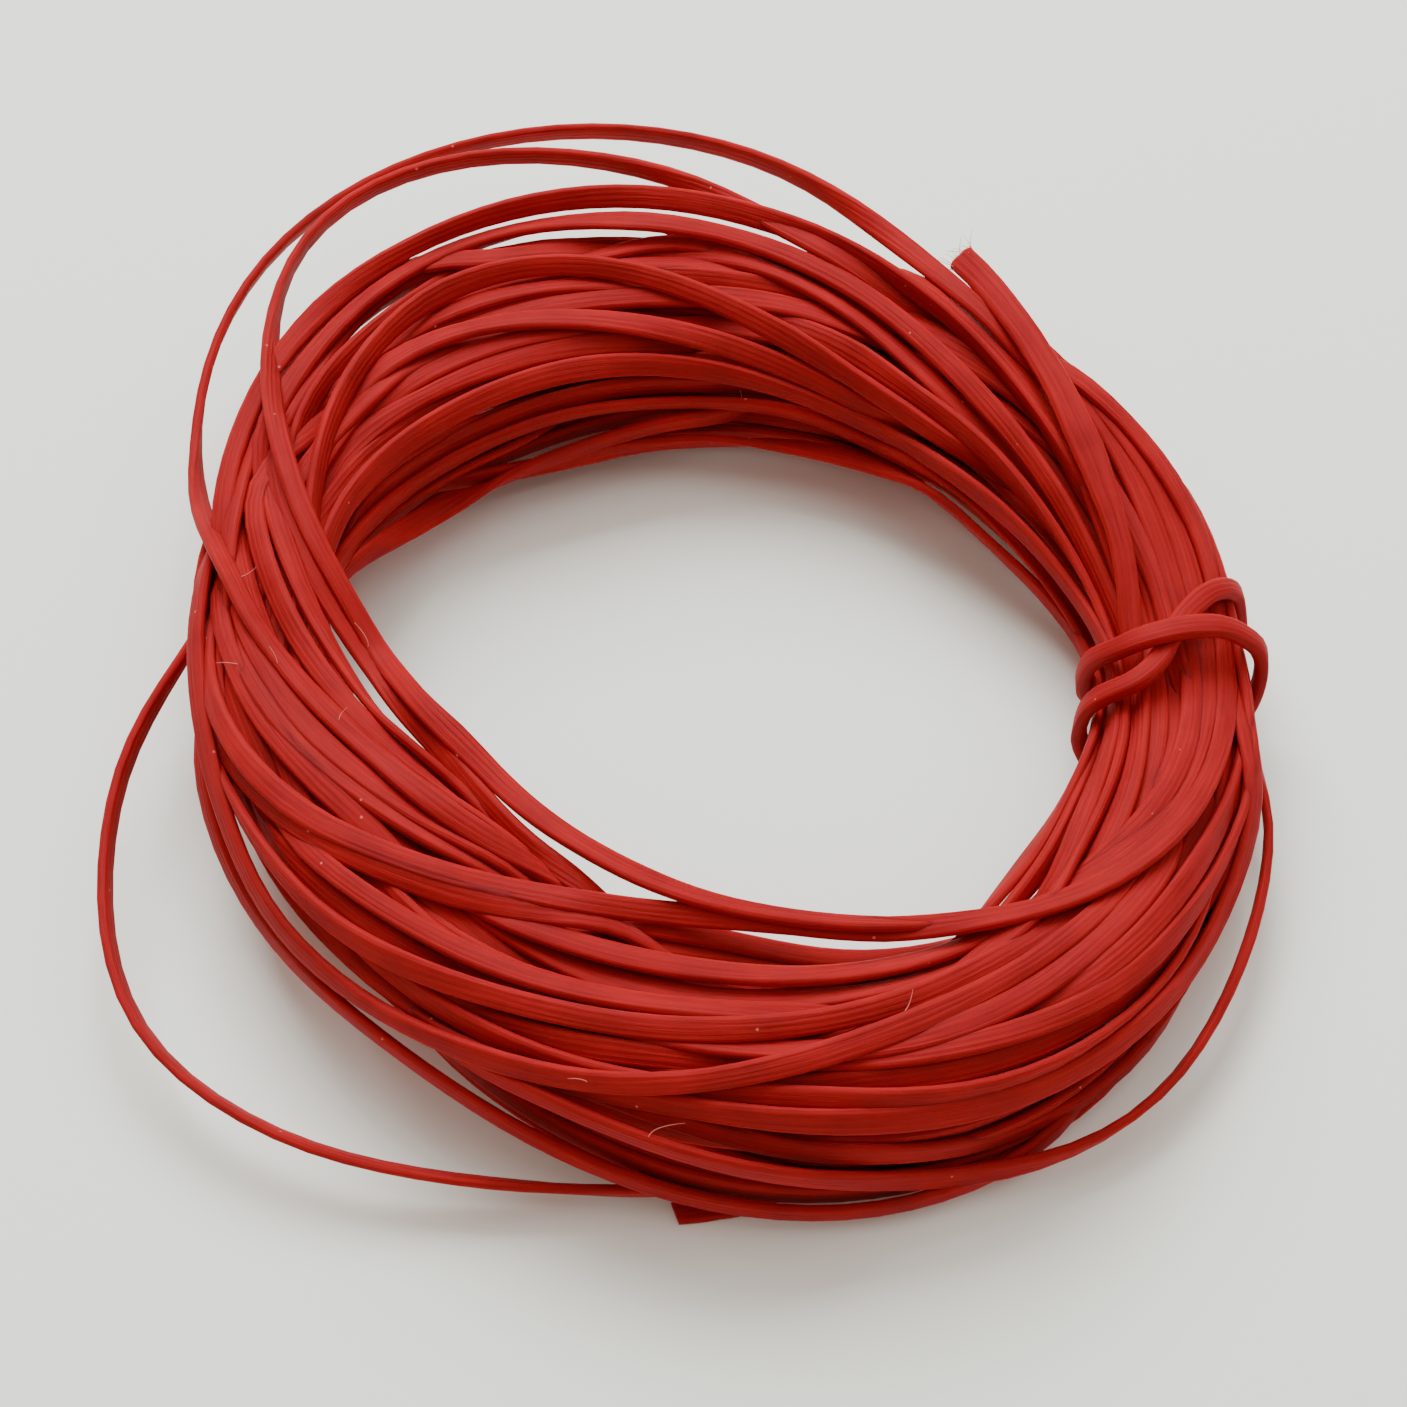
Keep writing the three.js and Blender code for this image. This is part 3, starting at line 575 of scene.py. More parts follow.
def crowding(angle, radius, height, inset):
    """1 at a depth of inset under the ring's skin, less inside and more outside."""
    middle, mid_height, half_width, half_height = middle_and_halves(angle)
    across = np.abs(radius - middle) / (half_width - inset)
    up = np.abs(height - mid_height) / (half_height - inset)
    return (across ** SECTION_SQUARENESS + up ** SECTION_SQUARENESS) ** (1.0 / SECTION_SQUARENESS)


# What the camera sees of it

def camera_axes():
    """The camera's right, up and backward directions."""
    back = unit(np.array(CAMERA_PLACE) - np.array(CAMERA_TARGET))
    right = unit(np.cross((0.0, 0.0, 1.0), back))
    up = np.cross(back, right)
    turned_right = right * math.cos(CAMERA_ROLL) + up * math.sin(CAMERA_ROLL)
    turned_up = up * math.cos(CAMERA_ROLL) - right * math.sin(CAMERA_ROLL)
    return turned_right, turned_up, back


def picture_point(places):
    """Where the camera sees these places, as slopes to its right and up."""
    right, up, back = camera_axes()
    ray = places - np.array(CAMERA_PLACE)
    depth = -(ray @ back)
    return np.stack((ray @ right / depth, ray @ up / depth), -1)


def to_camera(angle, radius, height):
    """The way to the camera from these places in the ring's section, as outwards and up."""
    sight = unit(np.array(CAMERA_PLACE) - ring_point(angle, radius, height))
    turn = np.radians(angle)
    return np.stack((sight[:, 0] * np.cos(turn) + sight[:, 1] * np.sin(turn), sight[:, 2]), -1)


def edge_lines():
    """The inner and the outer edge of the ring in the picture, at every degree round it."""
    along = np.arange(360.0)
    around = np.arange(0.0, 360.0, SKIN_STEP)
    seen = picture_point(skin_point(along[:, None], around[None, :], 0.0))
    outwards = (picture_point(ring_point(along, OUTER_SIDE, HALFWAY_UP))
                - picture_point(ring_point(along, INNER_SIDE, HALFWAY_UP)))
    reach = (seen * unit(outwards)[:, None]).sum(-1)
    rows = np.arange(360)
    return seen[rows, reach.argmin(1)], seen[rows, reach.argmax(1)]


def at_degrees(table, angle):
    """The table's row at these degrees, where it holds one for each degree round the ring."""
    place = np.mod(angle, 360.0)
    first = np.floor(place).astype(int)
    part = (place - first)[..., None]
    return table[first % 360] * (1 - part) + table[(first + 1) % 360] * part


def seen_place(edges, angle, lane, inset):
    """Where the line of sight at these degrees and lane first comes to inset under the skin."""
    inner, outer = (at_degrees(edge, angle) for edge in edges)
    slope = inner + (outer - inner) * lane[:, None]
    right, up, back = camera_axes()
    ray = unit(slope[:, :1] * right + slope[:, 1:] * up - back)
    eye = np.array(CAMERA_PLACE)
    near = (SIGHT_TOP - eye[2]) / ray[:, 2]
    far = (0.0 - eye[2]) / ray[:, 2]
    reach = near[:, None] + (far - near)[:, None] * np.linspace(0.0, 1.0, SIGHT_STEPS)
    places = eye + ray[:, None] * reach[..., None]
    form = crowding(*ring_place(places), inset)
    inside = form < 1.0
    hit = np.where(inside.any(1), inside.argmax(1), form.argmin(1))
    rows = np.arange(len(hit))
    before = np.maximum(hit - 1, 0)
    rise = form[rows, before] - form[rows, hit]
    back_step = np.where(inside.any(1) & (rise > 0), (1.0 - form[rows, hit]) / np.maximum(rise, 1e-9), 0.0)
    back_step = np.clip(back_step, 0.0, 1.0)[:, None]
    return places[rows, hit] * (1 - back_step) + places[rows, before] * back_step


# Rows: stretches of cord whose place is known

def near_tie(angle):
    """1 under the tie and 0 away from it."""
    return 1 - smooth_step((degrees_from(angle, TIE_MIDDLE) - TIE_REACH) / TIE_FADE)


def row_from_lanes(edges, level, points):
    """A row's degrees, radii and heights, from its lanes."""
    table = np.array(points, dtype=float)
    angle = np.arange(table[0, 0], table[-1, 0] + 0.5, 1.0)
    lane = smoothed(np.interp(angle, table[:, 0], table[:, 1]), LANE_ROUNDS)
    from_end = np.minimum(angle - angle[0], angle[-1] - angle)
    sunk = END_SINK * (1 - smooth_step(from_end / END_SINK_DEGREES))
    depth = CORD_THICKNESS / 2 + LAYER * (level + TIE_PRESS * near_tie(angle) + sunk)
    place = smoothed(seen_place(edges, angle, lane, depth[:, None]), PLACE_ROUNDS)
    own, radius, height = ring_place(place)
    own = angle + np.mod(own - angle + 180.0, 360.0) - 180.0
    own = np.maximum.accumulate(own + 1e-6 * np.arange(len(own)))
    return np.stack((own, radius, height), -1)


def row_of_turn(edges, level, roll_first, roll_last, points):
    """One row of the table SEEN: degrees, radius, height and roll."""
    row = row_from_lanes(edges, level, points)
    roll = np.linspace(roll_first, roll_last, len(row))
    return np.column_stack((row, roll))


def row_of_stray(edges, level, roll_first, roll_last, roll_back, before, stretch, after):
    """One row of the table STRAYS: degrees, radius, height and roll."""
    parts = []
    if before:
        first = row_from_lanes(edges, level, before)
        first = first[first[:, 0] < stretch[0][0] - STRAY_JOIN]
        parts.append(np.column_stack((first, np.zeros(len(first)))))
    clear = np.array(stretch, dtype=float)
    parts.append(np.column_stack((clear, np.linspace(roll_first, roll_last, len(clear)))))
    if after:
        last = row_from_lanes(edges, level, after)
        last = last[last[:, 0] > stretch[-1][0] + STRAY_JOIN]
        settled = smooth_step((last[:, 0] - ROLL_BACK_FROM) / ROLL_BACK_OVER)
        parts.append(np.column_stack((last, roll_back * settled)))
    return np.vstack(parts)


def row_of_end(points):
    """One of the cord's two ends: degrees, radius and height, lying flat."""
    return np.column_stack((points, np.zeros(len(points))))


def all_rows():
    """Every row whose place is known, apart from the cord's two ends."""
    edges = edge_lines()
    rows = [row_of_turn(edges, *entry) for entry in SEEN]
    rows += [row_of_stray(edges, *entry) for entry in STRAYS]
    return rows


def order_rows(rows, first, last, share):
    """Puts the rows one after another along the cord, with about this share of the even hidden
    length between them: each row's number and the turns that it is moved on by, and where they end."""
    waiting = list(range(len(rows)))
    lengths = [row[-1, 0] - row[0, 0] for row in rows]
    at = first
    laid = []
    while waiting:
        spare = share * (last - at - sum(lengths[i] for i in waiting)) / (len(waiting) + 1)
        best = None
        for i in waiting:
            gap = (rows[i][0, 0] - at) % 360.0
            if gap < HIDDEN_STRETCH_MIN:
                gap += 360.0
            if best is None or abs(gap - spare) < abs(best[1] - spare):
                best = (i, gap)
        i, gap = best
        turns = round((at + gap - rows[i][0, 0]) / 360.0)
        laid.append((i, turns))
        at = rows[i][-1, 0] + 360.0 * turns
        waiting.remove(i)
    return laid, at


def spread_rows(rows, first, last):
    """The rows in their order along the cord, spread as evenly as they fit: numbers and turns."""
    for share in np.linspace(*EVEN_SHARES):
        laid, reached = order_rows(rows, first, last - LAST_HIDDEN_STRETCH, share)
        if reached <= last:
            return laid
    raise RuntimeError("the rows don't fit on %d turns" % TURNS)


# The whole cord as stations

def home_slots(count):
    """Places inside the ring's section, as shares of its half sizes, each next to the one before."""
    slots = []
    for number, (reach, places) in enumerate(HOME_RINGS + ((LAST_HOME_RING, count),)):
        places = min(places, count - len(slots))
        for i in range(places):
            turn = 2 * math.pi * i / max(places, 1) + HOME_TURN * number
            slots.append((reach * math.cos(turn), reach * math.sin(turn)))
    return np.array(slots)


def homes(total):
    """Where a free turn lies at each station, as shares of the section's half sizes: in each turn it
    moves on from one slot to the next."""
    slots = home_slots(ALL_TURNS)
    turn = np.arange(len(total)) / STATIONS
    whole = np.minimum(turn.astype(int), ALL_TURNS - 2)
    part = smooth_step(turn - whole)[:, None]
    home = slots[whole] * (1 - part) + slots[whole + 1] * part
    swing = np.radians(HOME_SWING * np.sin(np.radians(total) + HOME_SWING_START))
    return np.stack((home[:, 0] * np.cos(swing) - home[:, 1] * np.sin(swing),
                     home[:, 0] * np.sin(swing) + home[:, 1] * np.cos(swing)), -1)


def held_neighbours(held):
    """The last held station up to each station, and the first one from it on."""
    numbers = np.flatnonzero(held)
    index = np.arange(len(held))
    before = np.searchsorted(numbers, index, side="right") - 1
    after = np.searchsorted(numbers, index, side="left")
    return numbers[np.clip(before, 0, len(numbers) - 1)], numbers[np.clip(after, 0, len(numbers) - 1)]


def lay_stations(draw):
    """The stations of all turns: degrees, radius, height, roll, rank, how hidden each is, and whether
    it is held by a row, fixed in its place and used at all."""
    size = ALL_TURNS * STATIONS
    index = np.arange(size)
    total = FIRST_ANGLE + ANGLE_STEP * index
    radius = np.full(size, np.nan)
    height = np.full(size, np.nan)
    rank = np.zeros(size)
    roll = np.zeros(size)
    fixed = np.zeros(size, dtype=bool)

    def hold(row, turn):
        """Puts the stations along the row on it, moved on by these turns, and says which they are."""
        angle = row[:, 0] + 360.0 * turn
        inside = (total >= angle[0]) & (total <= angle[-1])
        for values, column in ((radius, 1), (height, 2), (roll, 3)):
            values[inside] = np.interp(total[inside], angle, row[:, column])
        return inside

    cut = row_of_end(CUT_END + CUT_END_TUCK)
    fixed |= hold(cut, 0)
    fixed |= hold(row_of_end(LOOSE_END_ROOT + LOOSE_END[::-1]), TURNS + 1)
    last = 360.0 * TURNS + TIE[0][1]
    rows = all_rows()
    levels = [entry[0] for entry in SEEN + STRAYS]
    for number, turn in spread_rows(rows, cut[-1, 0], last):
        base = SEEN_RANK if number < len(SEEN) else STRAY_RANK
        rank[hold(rows[number], turn)] = (base + levels[number] + ODD_ROW_RANK * (number % 2)
                                          + ROW_RANK * number)
    end = int(round((last - FIRST_ANGLE) / ANGLE_STEP))
    resume = int(round((360.0 * TURNS + TIE[-1][1] - FIRST_ANGLE) / ANGLE_STEP))
    tip_end = int((360.0 * (TURNS + 1) + LOOSE_END[0][0] - FIRST_ANGLE) / ANGLE_STEP)
    for station, (around, along, over) in ((end, TIE[0]), (resume, TIE[-1])):
        _, radius[station], height[station] = ring_place(skin_point(along, around, over))
        fixed[station] = True
    used = (total >= cut[0, 0]) & (index <= end) | (index >= resume) & (index <= tip_end)
    held = ~np.isnan(radius) & used

    middle, mid_height, half_width, half_height = middle_and_halves(total)
    share = np.stack(((radius - middle) / half_width, (height - mid_height) / half_height), -1)
    before, after = held_neighbours(held)
    stretch = np.maximum((after - before) * ANGLE_STEP, 1e-6)
    dive = np.minimum(DIVE, stretch / 2)
    from_before = 1 - smooth_step((index - before) * ANGLE_STEP / dive)
    from_after = 1 - smooth_step((after - index) * ANGLE_STEP / dive)
    hidden = 1 - from_before - from_after
    free = used & ~held
    blend = (np.nan_to_num(share[before]) * from_before[:, None]
             + np.nan_to_num(share[after]) * from_after[:, None] + homes(total) * hidden[:, None])
    radius[free] = (middle + blend[:, 0] * half_width)[free]
    height[free] = (mid_height + blend[:, 1] * half_height)[free]
    radius[~used] = middle[~used]
    height[~used] = mid_height[~used]
    clear = smooth_step((crowding(total, radius, height, 0.0) - CLEAR_OUTSIDE[0]) / CLEAR_OUTSIDE[1])
    wander = smooth_noise(draw, size, HELD_ROLL_STATIONS) * (1.0 - CLEAR_CALM * clear)
    inner_wander = smooth_noise(draw, size, INNER_ROLL_STATIONS)
    roll = roll + np.where(held, HELD_ROLL * wander, INNER_ROLL * inner_wander) * ~fixed
    return total, radius, height, smoothed(roll, ROLL_ROUNDS), rank, hidden, held, fixed, used


def broad_angle(total, radius, height, roll):
    """The tilt of the cord's broad side in the ring's section, in radians from level."""
    middle, mid_height, half_width, half_height = middle_and_halves(total)
    across = (radius - middle) / half_width
    up = (height - mid_height) / half_height
    normal_across = np.sign(across) * np.abs(across) ** SKIN_POWER / half_width
    normal_up = np.sign(up) * np.abs(up) ** SKIN_POWER / half_height + UPRIGHT_LEAN
    normal_up = np.where(np.abs(normal_up) < LEAST_LEAN, LEAST_LEAN, normal_up)
    tilt = np.arctan2(-normal_across * np.sign(normal_up), np.abs(normal_up))
    sight = to_camera(total, radius, height)
    facing = np.arctan2(-sight[:, 0], sight[:, 1])
    crowd = crowding(total, radius, height, 0.0)
    clear = np.where(radius < middle, smooth_step((crowd - CLEAR_INSIDE[0]) / CLEAR_INSIDE[1]),
                     smooth_step((crowd - CLEAR_OUTSIDE[0]) / CLEAR_OUTSIDE[1]))
    tilt = tilt + (facing - tilt) * clear
    raised = smooth_step((height - ON_FLOOR) / ON_FLOOR)
    return (tilt + np.radians(roll)) * raised


def pushes(radius, height, tilt, used, ease):
    """How far the turns that lie in each other push each other away, at each station."""
    across = radius[:, None] - radius[None]
    up = height[:, None] - height[None]
    apart = np.sqrt(across * across + up * up) + 1e-7
    across /= apart
    up /= apart
    half_width, half_thickness = CORD_WIDTH / 2, CORD_THICKNESS / 2

    def reach(angle):
        """How far a turn's section reaches towards its neighbour."""
        cosine, sine = np.cos(angle), np.sin(angle)
        along = across * cosine + up * sine
        over = up * cosine - across * sine
        return half_width * half_thickness / np.sqrt(
            (half_thickness * along) ** 2 + (half_width * over) ** 2 + 1e-20)

    need = reach(tilt[:, None]) + reach(tilt[None])
    pair = used[:, None] & used[None]
    push = np.where(pair, np.clip(need - apart, 0.0, None), 0.0)
    share = ease[:, None] / (ease[:, None] + ease[None] + 1e-9)
    push = push * share
    return (push * across).sum(1), (push * up).sum(1)


def stacking(radius, height, sight, rank, pair):
    """How far held turns that cross in the picture part along the line of sight, the lower rank
    on top."""
    across = radius[:, None] - radius[None]
    up = height[:, None] - height[None]
    depth = across * sight[:, 0] + up * sight[:, 1]
    beside = across * sight[:, 1] - up * sight[:, 0]
    need = CORD_THICKNESS * np.sqrt(np.clip(1 - (beside / (STACK_REACH * CORD_WIDTH)) ** 2, 0.0, 1.0))
    side = np.sign(rank[None] - rank[:, None])
    miss = np.where(pair, np.clip(need - depth * side, 0.0, None) * side, 0.0)
    return miss.sum(1) / 2


def core_edges(centre):
    """The two edges of the ring's core in the picture, at every degree round the ring: their turn
    round this centre, and how far the inner and the outer one lie from it."""
    edges = [edge - centre for edge in edge_lines()]
    reach = [np.linalg.norm(edge, axis=1) for edge in edges]
    turn = [np.unwrap(np.arctan2(*edge.T[::-1])) for edge in edges]
    core = np.array(CORE, dtype=float)
    lanes = [np.interp(np.arange(360.0), core[:, 0], core[:, column]) for column in (1, 2)]
    low, high = (reach[0] + (reach[1] - reach[0]) * lane for lane in lanes)
    return (turn[0] + turn[1]) / 2, low, high


def around_picture(turns, values, angle):
    """The values, one at each of these turns round the picture, at this angle."""
    knots = np.concatenate((turns - 2 * math.pi, turns, turns + 2 * math.pi))
    return np.interp(angle, knots, np.concatenate((values, values, values)))


def by_turn(values):
    """The values as 32-bit numbers, a line for each turn."""
    return values.reshape(ALL_TURNS, STATIONS).astype(np.float32)


def settle(draw):
    """Lets the turns find their places: the rows keep their place in the picture and the rest
    fills the ring under them."""
    total, radius, height, roll, rank, hidden, held, fixed, used = lay_stations(draw)
    aim_radius, aim_height = radius.copy(), height.copy()
    middle, mid_height, half_width, half_height = middle_and_halves(total)
    sight = unit(to_camera(total, middle, mid_height))
    sight_by_turn = sight[:STATIONS].astype(np.float32)
    centre = picture_point(ring_point(0.0, 0.0, HALFWAY_UP))
    core_turn, core_low, core_high = core_edges(centre)
    slope = np.linalg.norm(picture_point(ring_point(total, middle + SLOPE_TEST, mid_height))
                           - picture_point(ring_point(total, middle, mid_height)), axis=1) / SLOPE_TEST
    away = smooth_step((degrees_from(total, 0.0) - COVER_REACH) / TIE_FADE)
    cover = (COVER_AT_TIE + COVER_MORE * away) * smooth_step(COVER_HIDDEN * hidden)
    used_by_turn = used.reshape(ALL_TURNS, STATIONS)
    held_by_turn = held.reshape(ALL_TURNS, STATIONS)
    pair = held_by_turn[:, None] & held_by_turn[None]
    free = used & ~held
    held_loosely = held & ~fixed
    ease = np.where(free, 1.0, HELD_EASE) * ~fixed
    pull = np.where(held_loosely, PULL_BACK, 0.0)
    linked = used & np.roll(used, 1) & np.roll(used, -1)
    stiffness = np.where(free, FREE_STRAIGHTENING, np.where(fixed, 0.0, HELD_STRAIGHTENING))
    stiffness = np.where(linked, stiffness, 0.0)
    for _ in range(SETTLE_STEPS):
        # turns that lie in each other part: free ones any way, held ones along the line of sight
        tilt = broad_angle(total, radius, height, roll)
        push_across, push_up = pushes(by_turn(radius), by_turn(height), by_turn(tilt), used_by_turn,
                                      by_turn(ease))
        push_across = np.clip(push_across.ravel(), -PUSH_LIMIT, PUSH_LIMIT)
        push_up = np.clip(push_up.ravel(), -PUSH_LIMIT, PUSH_LIMIT)
        along_sight = push_across * sight[:, 0] + push_up * sight[:, 1]
        radius += np.where(free, push_across, np.where(fixed, 0.0, along_sight * sight[:, 0])) * PUSH_SHARE
        height += np.where(free, push_up, np.where(fixed, 0.0, along_sight * sight[:, 1])) * PUSH_SHARE
        # held turns that cross part in the order of their rank, and stay near their row
        part = stacking(by_turn(radius), by_turn(height), sight_by_turn, by_turn(rank), pair)
        part = np.clip(part.ravel(), -STACK_LIMIT, STACK_LIMIT) * held_loosely
        risen = (radius - aim_radius) * sight[:, 0] + (height - aim_height) * sight[:, 1]
        part = np.where(np.abs(risen + part) < STACK_RISE * CORD_THICKNESS, part, 0.0)
        radius += part * sight[:, 0]
        height += part * sight[:, 1]
        radius += (aim_radius - radius) * pull
        height += (aim_height - height) * pull
        straighten((radius, height), stiffness)
        # free turns stay under the skin, inside the core and above the floor
        across = (radius - middle) / half_width
        up = (height - mid_height) / half_height
        from_middle = np.maximum(np.hypot(across, up), 1e-6)
        facing = np.clip((across * sight[:, 0] + up * sight[:, 1]) / from_middle, 0.0, 1.0)
        inset = CORD_THICKNESS / 2 + cover * smooth_step(facing * COVER_FACING)
        form = np.maximum(crowding(total, radius, height, inset), 1e-9)
        out = free & (form > 1.0)
        radius = np.where(out, middle + (radius - middle) / form, radius)
        height = np.where(out, mid_height + (height - mid_height) / form, height)
        seen = picture_point(ring_point(total, radius, height)) - centre
        reach = np.linalg.norm(seen, axis=1)
        angle = np.arctan2(seen[:, 1], seen[:, 0])
        over = np.clip(reach - around_picture(core_turn, core_high, angle), 0.0, None)
        under = np.clip(around_picture(core_turn, core_low, angle) - reach, 0.0, None)
        shift = np.where(free, (under - over) / slope, 0.0)
        radius += np.clip(shift, -CORE_LIMIT, CORE_LIMIT)
        height = np.where(fixed, height, np.maximum(height, CORD_THICKNESS * LOWEST))
    for _ in range(LAST_ROUNDS):
        straighten((radius, height), np.where(linked & ~fixed, LAST_STRAIGHTENING, 0.0))
    return total, radius, height, roll, used


def tie_route(before, after):
    """The tie from the last two places before it to the first two after it: places, and directions
    of its broad side."""
    proud = CORD_THICKNESS * WRAP_THICKNESS_SHARE / 2
    wraps = np.array([skin_point(along, around, proud + over) for around, along, over in TIE[1:-1]])
    wraps = curve_through(np.vstack((before, wraps, after)), WRAP_STEP)
    wraps = wraps[nearest(wraps, before[-1]) + 1:nearest(wraps, after[0])]
    own, radius, height = ring_place(wraps)
    middle, mid_height, half_width, half_height = middle_and_halves(own)
    turn = np.radians(own)
    out = (radius - middle) / half_width ** 2
    normal = unit(np.stack((out * np.cos(turn), out * np.sin(turn),
                            (height - mid_height) / half_height ** 2), -1))
    return wraps, np.cross(unit(np.gradient(wraps, axis=0)), normal)


def steady_sides(side, tangent):
    """The directions of the cord's broad side, square to the cord and without sudden turns."""
    side = unit(side - tangent * (side * tangent).sum(1, keepdims=True))
    for i in range(1, len(side)):
        if side[i] @ side[i - 1] < 0:
            side[i] = -side[i]
    for _ in range(SIDE_ROUNDS):
        side[1:-1] = side[:-2] + 2 * side[1:-1] + side[2:]
        side = unit(side - tangent * (side * tangent).sum(1, keepdims=True))
    return side


def cord_route():
    """The cord from its cut end to its loose end: places, directions along it and of its broad side,
    widths and thicknesses."""
    draw = np.random.default_rng(SEED)
    total, radius, height, roll, used = settle(draw)
    tilt = broad_angle(total, radius, height, roll)
    turn = np.radians(total)
    places = ring_point(total, radius, height)
    outwards = np.stack((np.cos(turn), np.sin(turn), np.zeros_like(turn)), -1)
    broad = outwards * np.cos(tilt)[:, None] + np.array((0.0, 0.0, 1.0)) * np.sin(tilt)[:, None]
    stations = np.flatnonzero(used)
    pause = int(np.argmax(np.diff(stations) > 1))
    end, resume, last = stations[pause], stations[pause + 1], stations[-1]
    first = int(np.searchsorted(total, CUT_END[-1][0])) + 1
    head = curve_through(ring_point(*np.array(CUT_END).T), WRAP_STEP)
    wraps, wrap_side = tie_route(places[end - 1:end + 1], places[resume:resume + 2])
    tip = curve_through(ring_point(*np.array(LOOSE_END[::-1]).T), WRAP_STEP)
    tip = tip[nearest(tip, places[last]) + 1:]
    parts = (head, places[first:end + 1], wraps, places[resume:last + 1], tip)
    route = np.vstack(parts)
    side = np.vstack((np.repeat(broad[first:first + 1], len(head), 0), broad[first:end + 1], wrap_side,
                      broad[resume:last + 1], np.repeat(broad[last:last + 1], len(tip), 0)))
    tangent = unit(np.gradient(route, axis=0))
    side = steady_sides(side, tangent)
    pinch = np.concatenate([np.full(len(part), float(part is wraps)) for part in parts])
    pinch = smoothed(pinch, PINCH_ROUNDS)
    uneven = UNEVEN_WIDTH * smooth_noise(draw, len(route), UNEVEN_POINTS)
    width = CORD_WIDTH * (1 + (WRAP_WIDTH_SHARE - 1) * pinch) * (1 + uneven)
    thickness = CORD_THICKNESS * (1 + (WRAP_THICKNESS_SHARE - 1) * pinch) * (1 - uneven)
    to_tip = WRAP_STEP * np.arange(len(route))[::-1]
    width = width * (1 + (LOOSE_WIDTH_SHARE - 1) * smooth_step(2.0 * (1.0 - to_tip / LOOSE_WIDTH_REACH)))
    route = np.vstack((route, route[-1:] + tangent[-1:] * END_ROUNDING))
    tangent = np.vstack((tangent, tangent[-1:]))
    side = np.vstack((side, side[-1:]))
    width = np.append(width, width[-1] * END_WIDTH_SHARE)
    thickness = np.append(thickness, thickness[-1] * END_THICKNESS_SHARE)
    over = np.cross(tangent, side)
    lowest = (np.abs(side[:, 2]) * width + np.abs(over[:, 2]) * thickness) / 2
    route[:, 2] = np.maximum(route[:, 2], lowest)
    return route, tangent, side, width, thickness


# The pieces

def cord_section():
    """The cord's section, anticlockwise, as shares of its width and thickness."""
    quarter = list(SECTION_QUARTER)
    upper = quarter + [(-x, y) for x, y in reversed(quarter)]
    return np.array(upper + [(-x, -y) for x, y in upper])


def sweep(name, route, tangent, side, width, thickness):
    """A closed tube of the cord's section along the route, with its length along it in its UV map."""
    section = cord_section()
    count = len(section)
    over = np.cross(tangent, side)
    rings = (route[:, None] + side[:, None] * (section[:, 0] * width[:, None])[..., None]
             + over[:, None] * (section[:, 1] * thickness[:, None])[..., None])
    rings[0] -= tangent[0] * ((0.5 - section[:, 0]) * width[0] * CUT_BEVEL)[:, None]
    points = rings.reshape(-1, 3)
    first = np.arange(len(route) - 1)[:, None] * count
    here = np.arange(count)[None, :]
    after = (here + 1) % count
    quads = np.stack((first + here, first + after, first + count + after, first + count + here), -1)
    quads = quads.reshape(-1, 4)
    mesh = bpy.data.meshes.new(name)
    faces = quads.tolist()
    faces.append(list(range(count - 1, -1, -1)))
    faces.append(list(range(len(points) - count, len(points))))
    mesh.from_pydata(points.tolist(), [], faces)
    mesh.update()
    run = np.concatenate(((0.0,), np.cumsum(np.linalg.norm(np.diff(route, axis=0), axis=1))))
    layer = mesh.uv_layers.new(name="cord")
    outline = np.vstack((section, section[:1])) * (width.mean(), thickness.mean())
    edge = np.concatenate(((0.0,), np.cumsum(np.linalg.norm(np.diff(outline, axis=0), axis=1))))
    ring_number = quads // count
    corner = np.tile(np.stack((here[0], here[0] + 1, here[0] + 1, here[0]), -1), (len(route) - 1, 1))
    uv = np.stack((run[ring_number], edge[corner]), -1) * MILLIMETRES
    caps = np.zeros((2 * count, 2))
    caps[count:, 0] = run[-1] * MILLIMETRES
    layer.data.foreach_set("uv", np.vstack((uv.reshape(-1, 2), caps)).ravel())
    mesh.polygons.foreach_set("use_smooth", [True] * len(quads) + [False, False])
    piece = bpy.data.objects.new(name, mesh)
    bpy.context.collection.objects.link(piece)
    return piece


def hair(root, heading, curl, length):
    """The line of one loose fibre: its places from the root on, bent towards the curl."""
    reach = np.linspace(0.0, 1.0, HAIR_POINTS)[:, None]
    line = root + length * (heading * reach + curl * reach ** 2)
    line[:, 2] = np.maximum(line[:, 2], 2 * HAIR_RADIUS)
    return line


def end_hairs(rings, longest):
    """The lines of the fibres that stand out of the cord's two ends, from its rings of points."""
    draw = np.random.default_rng(SEED)
    lines = []
    for ring, behind, hairs, share in ((rings[-2], rings[-5], TIP_HAIRS, 1.0),
                                       (rings[1], rings[4], CUT_HAIRS, CUT_HAIR_SHARE)):
        outwards = unit(ring.mean(0) - behind.mean(0))
        for _ in range(hairs):
            first, second = draw.integers(0, len(ring), 2)
            root = ring[first] + (ring[second] - ring[first]) * draw.uniform(*HAIR_ROOTS)
            heading = unit(outwards + HAIR_SPREAD * draw.standard_normal(3))
            reach = longest * share * draw.uniform(HAIR_SHORTEST, 1.0) ** HAIR_UNEVENNESS
            root = root - HAIR_SUNK * reach * outwards
            lines.append(hair(root, heading, HAIR_CURL * draw.standard_normal(3), (1 + HAIR_SUNK) * reach))
    return lines


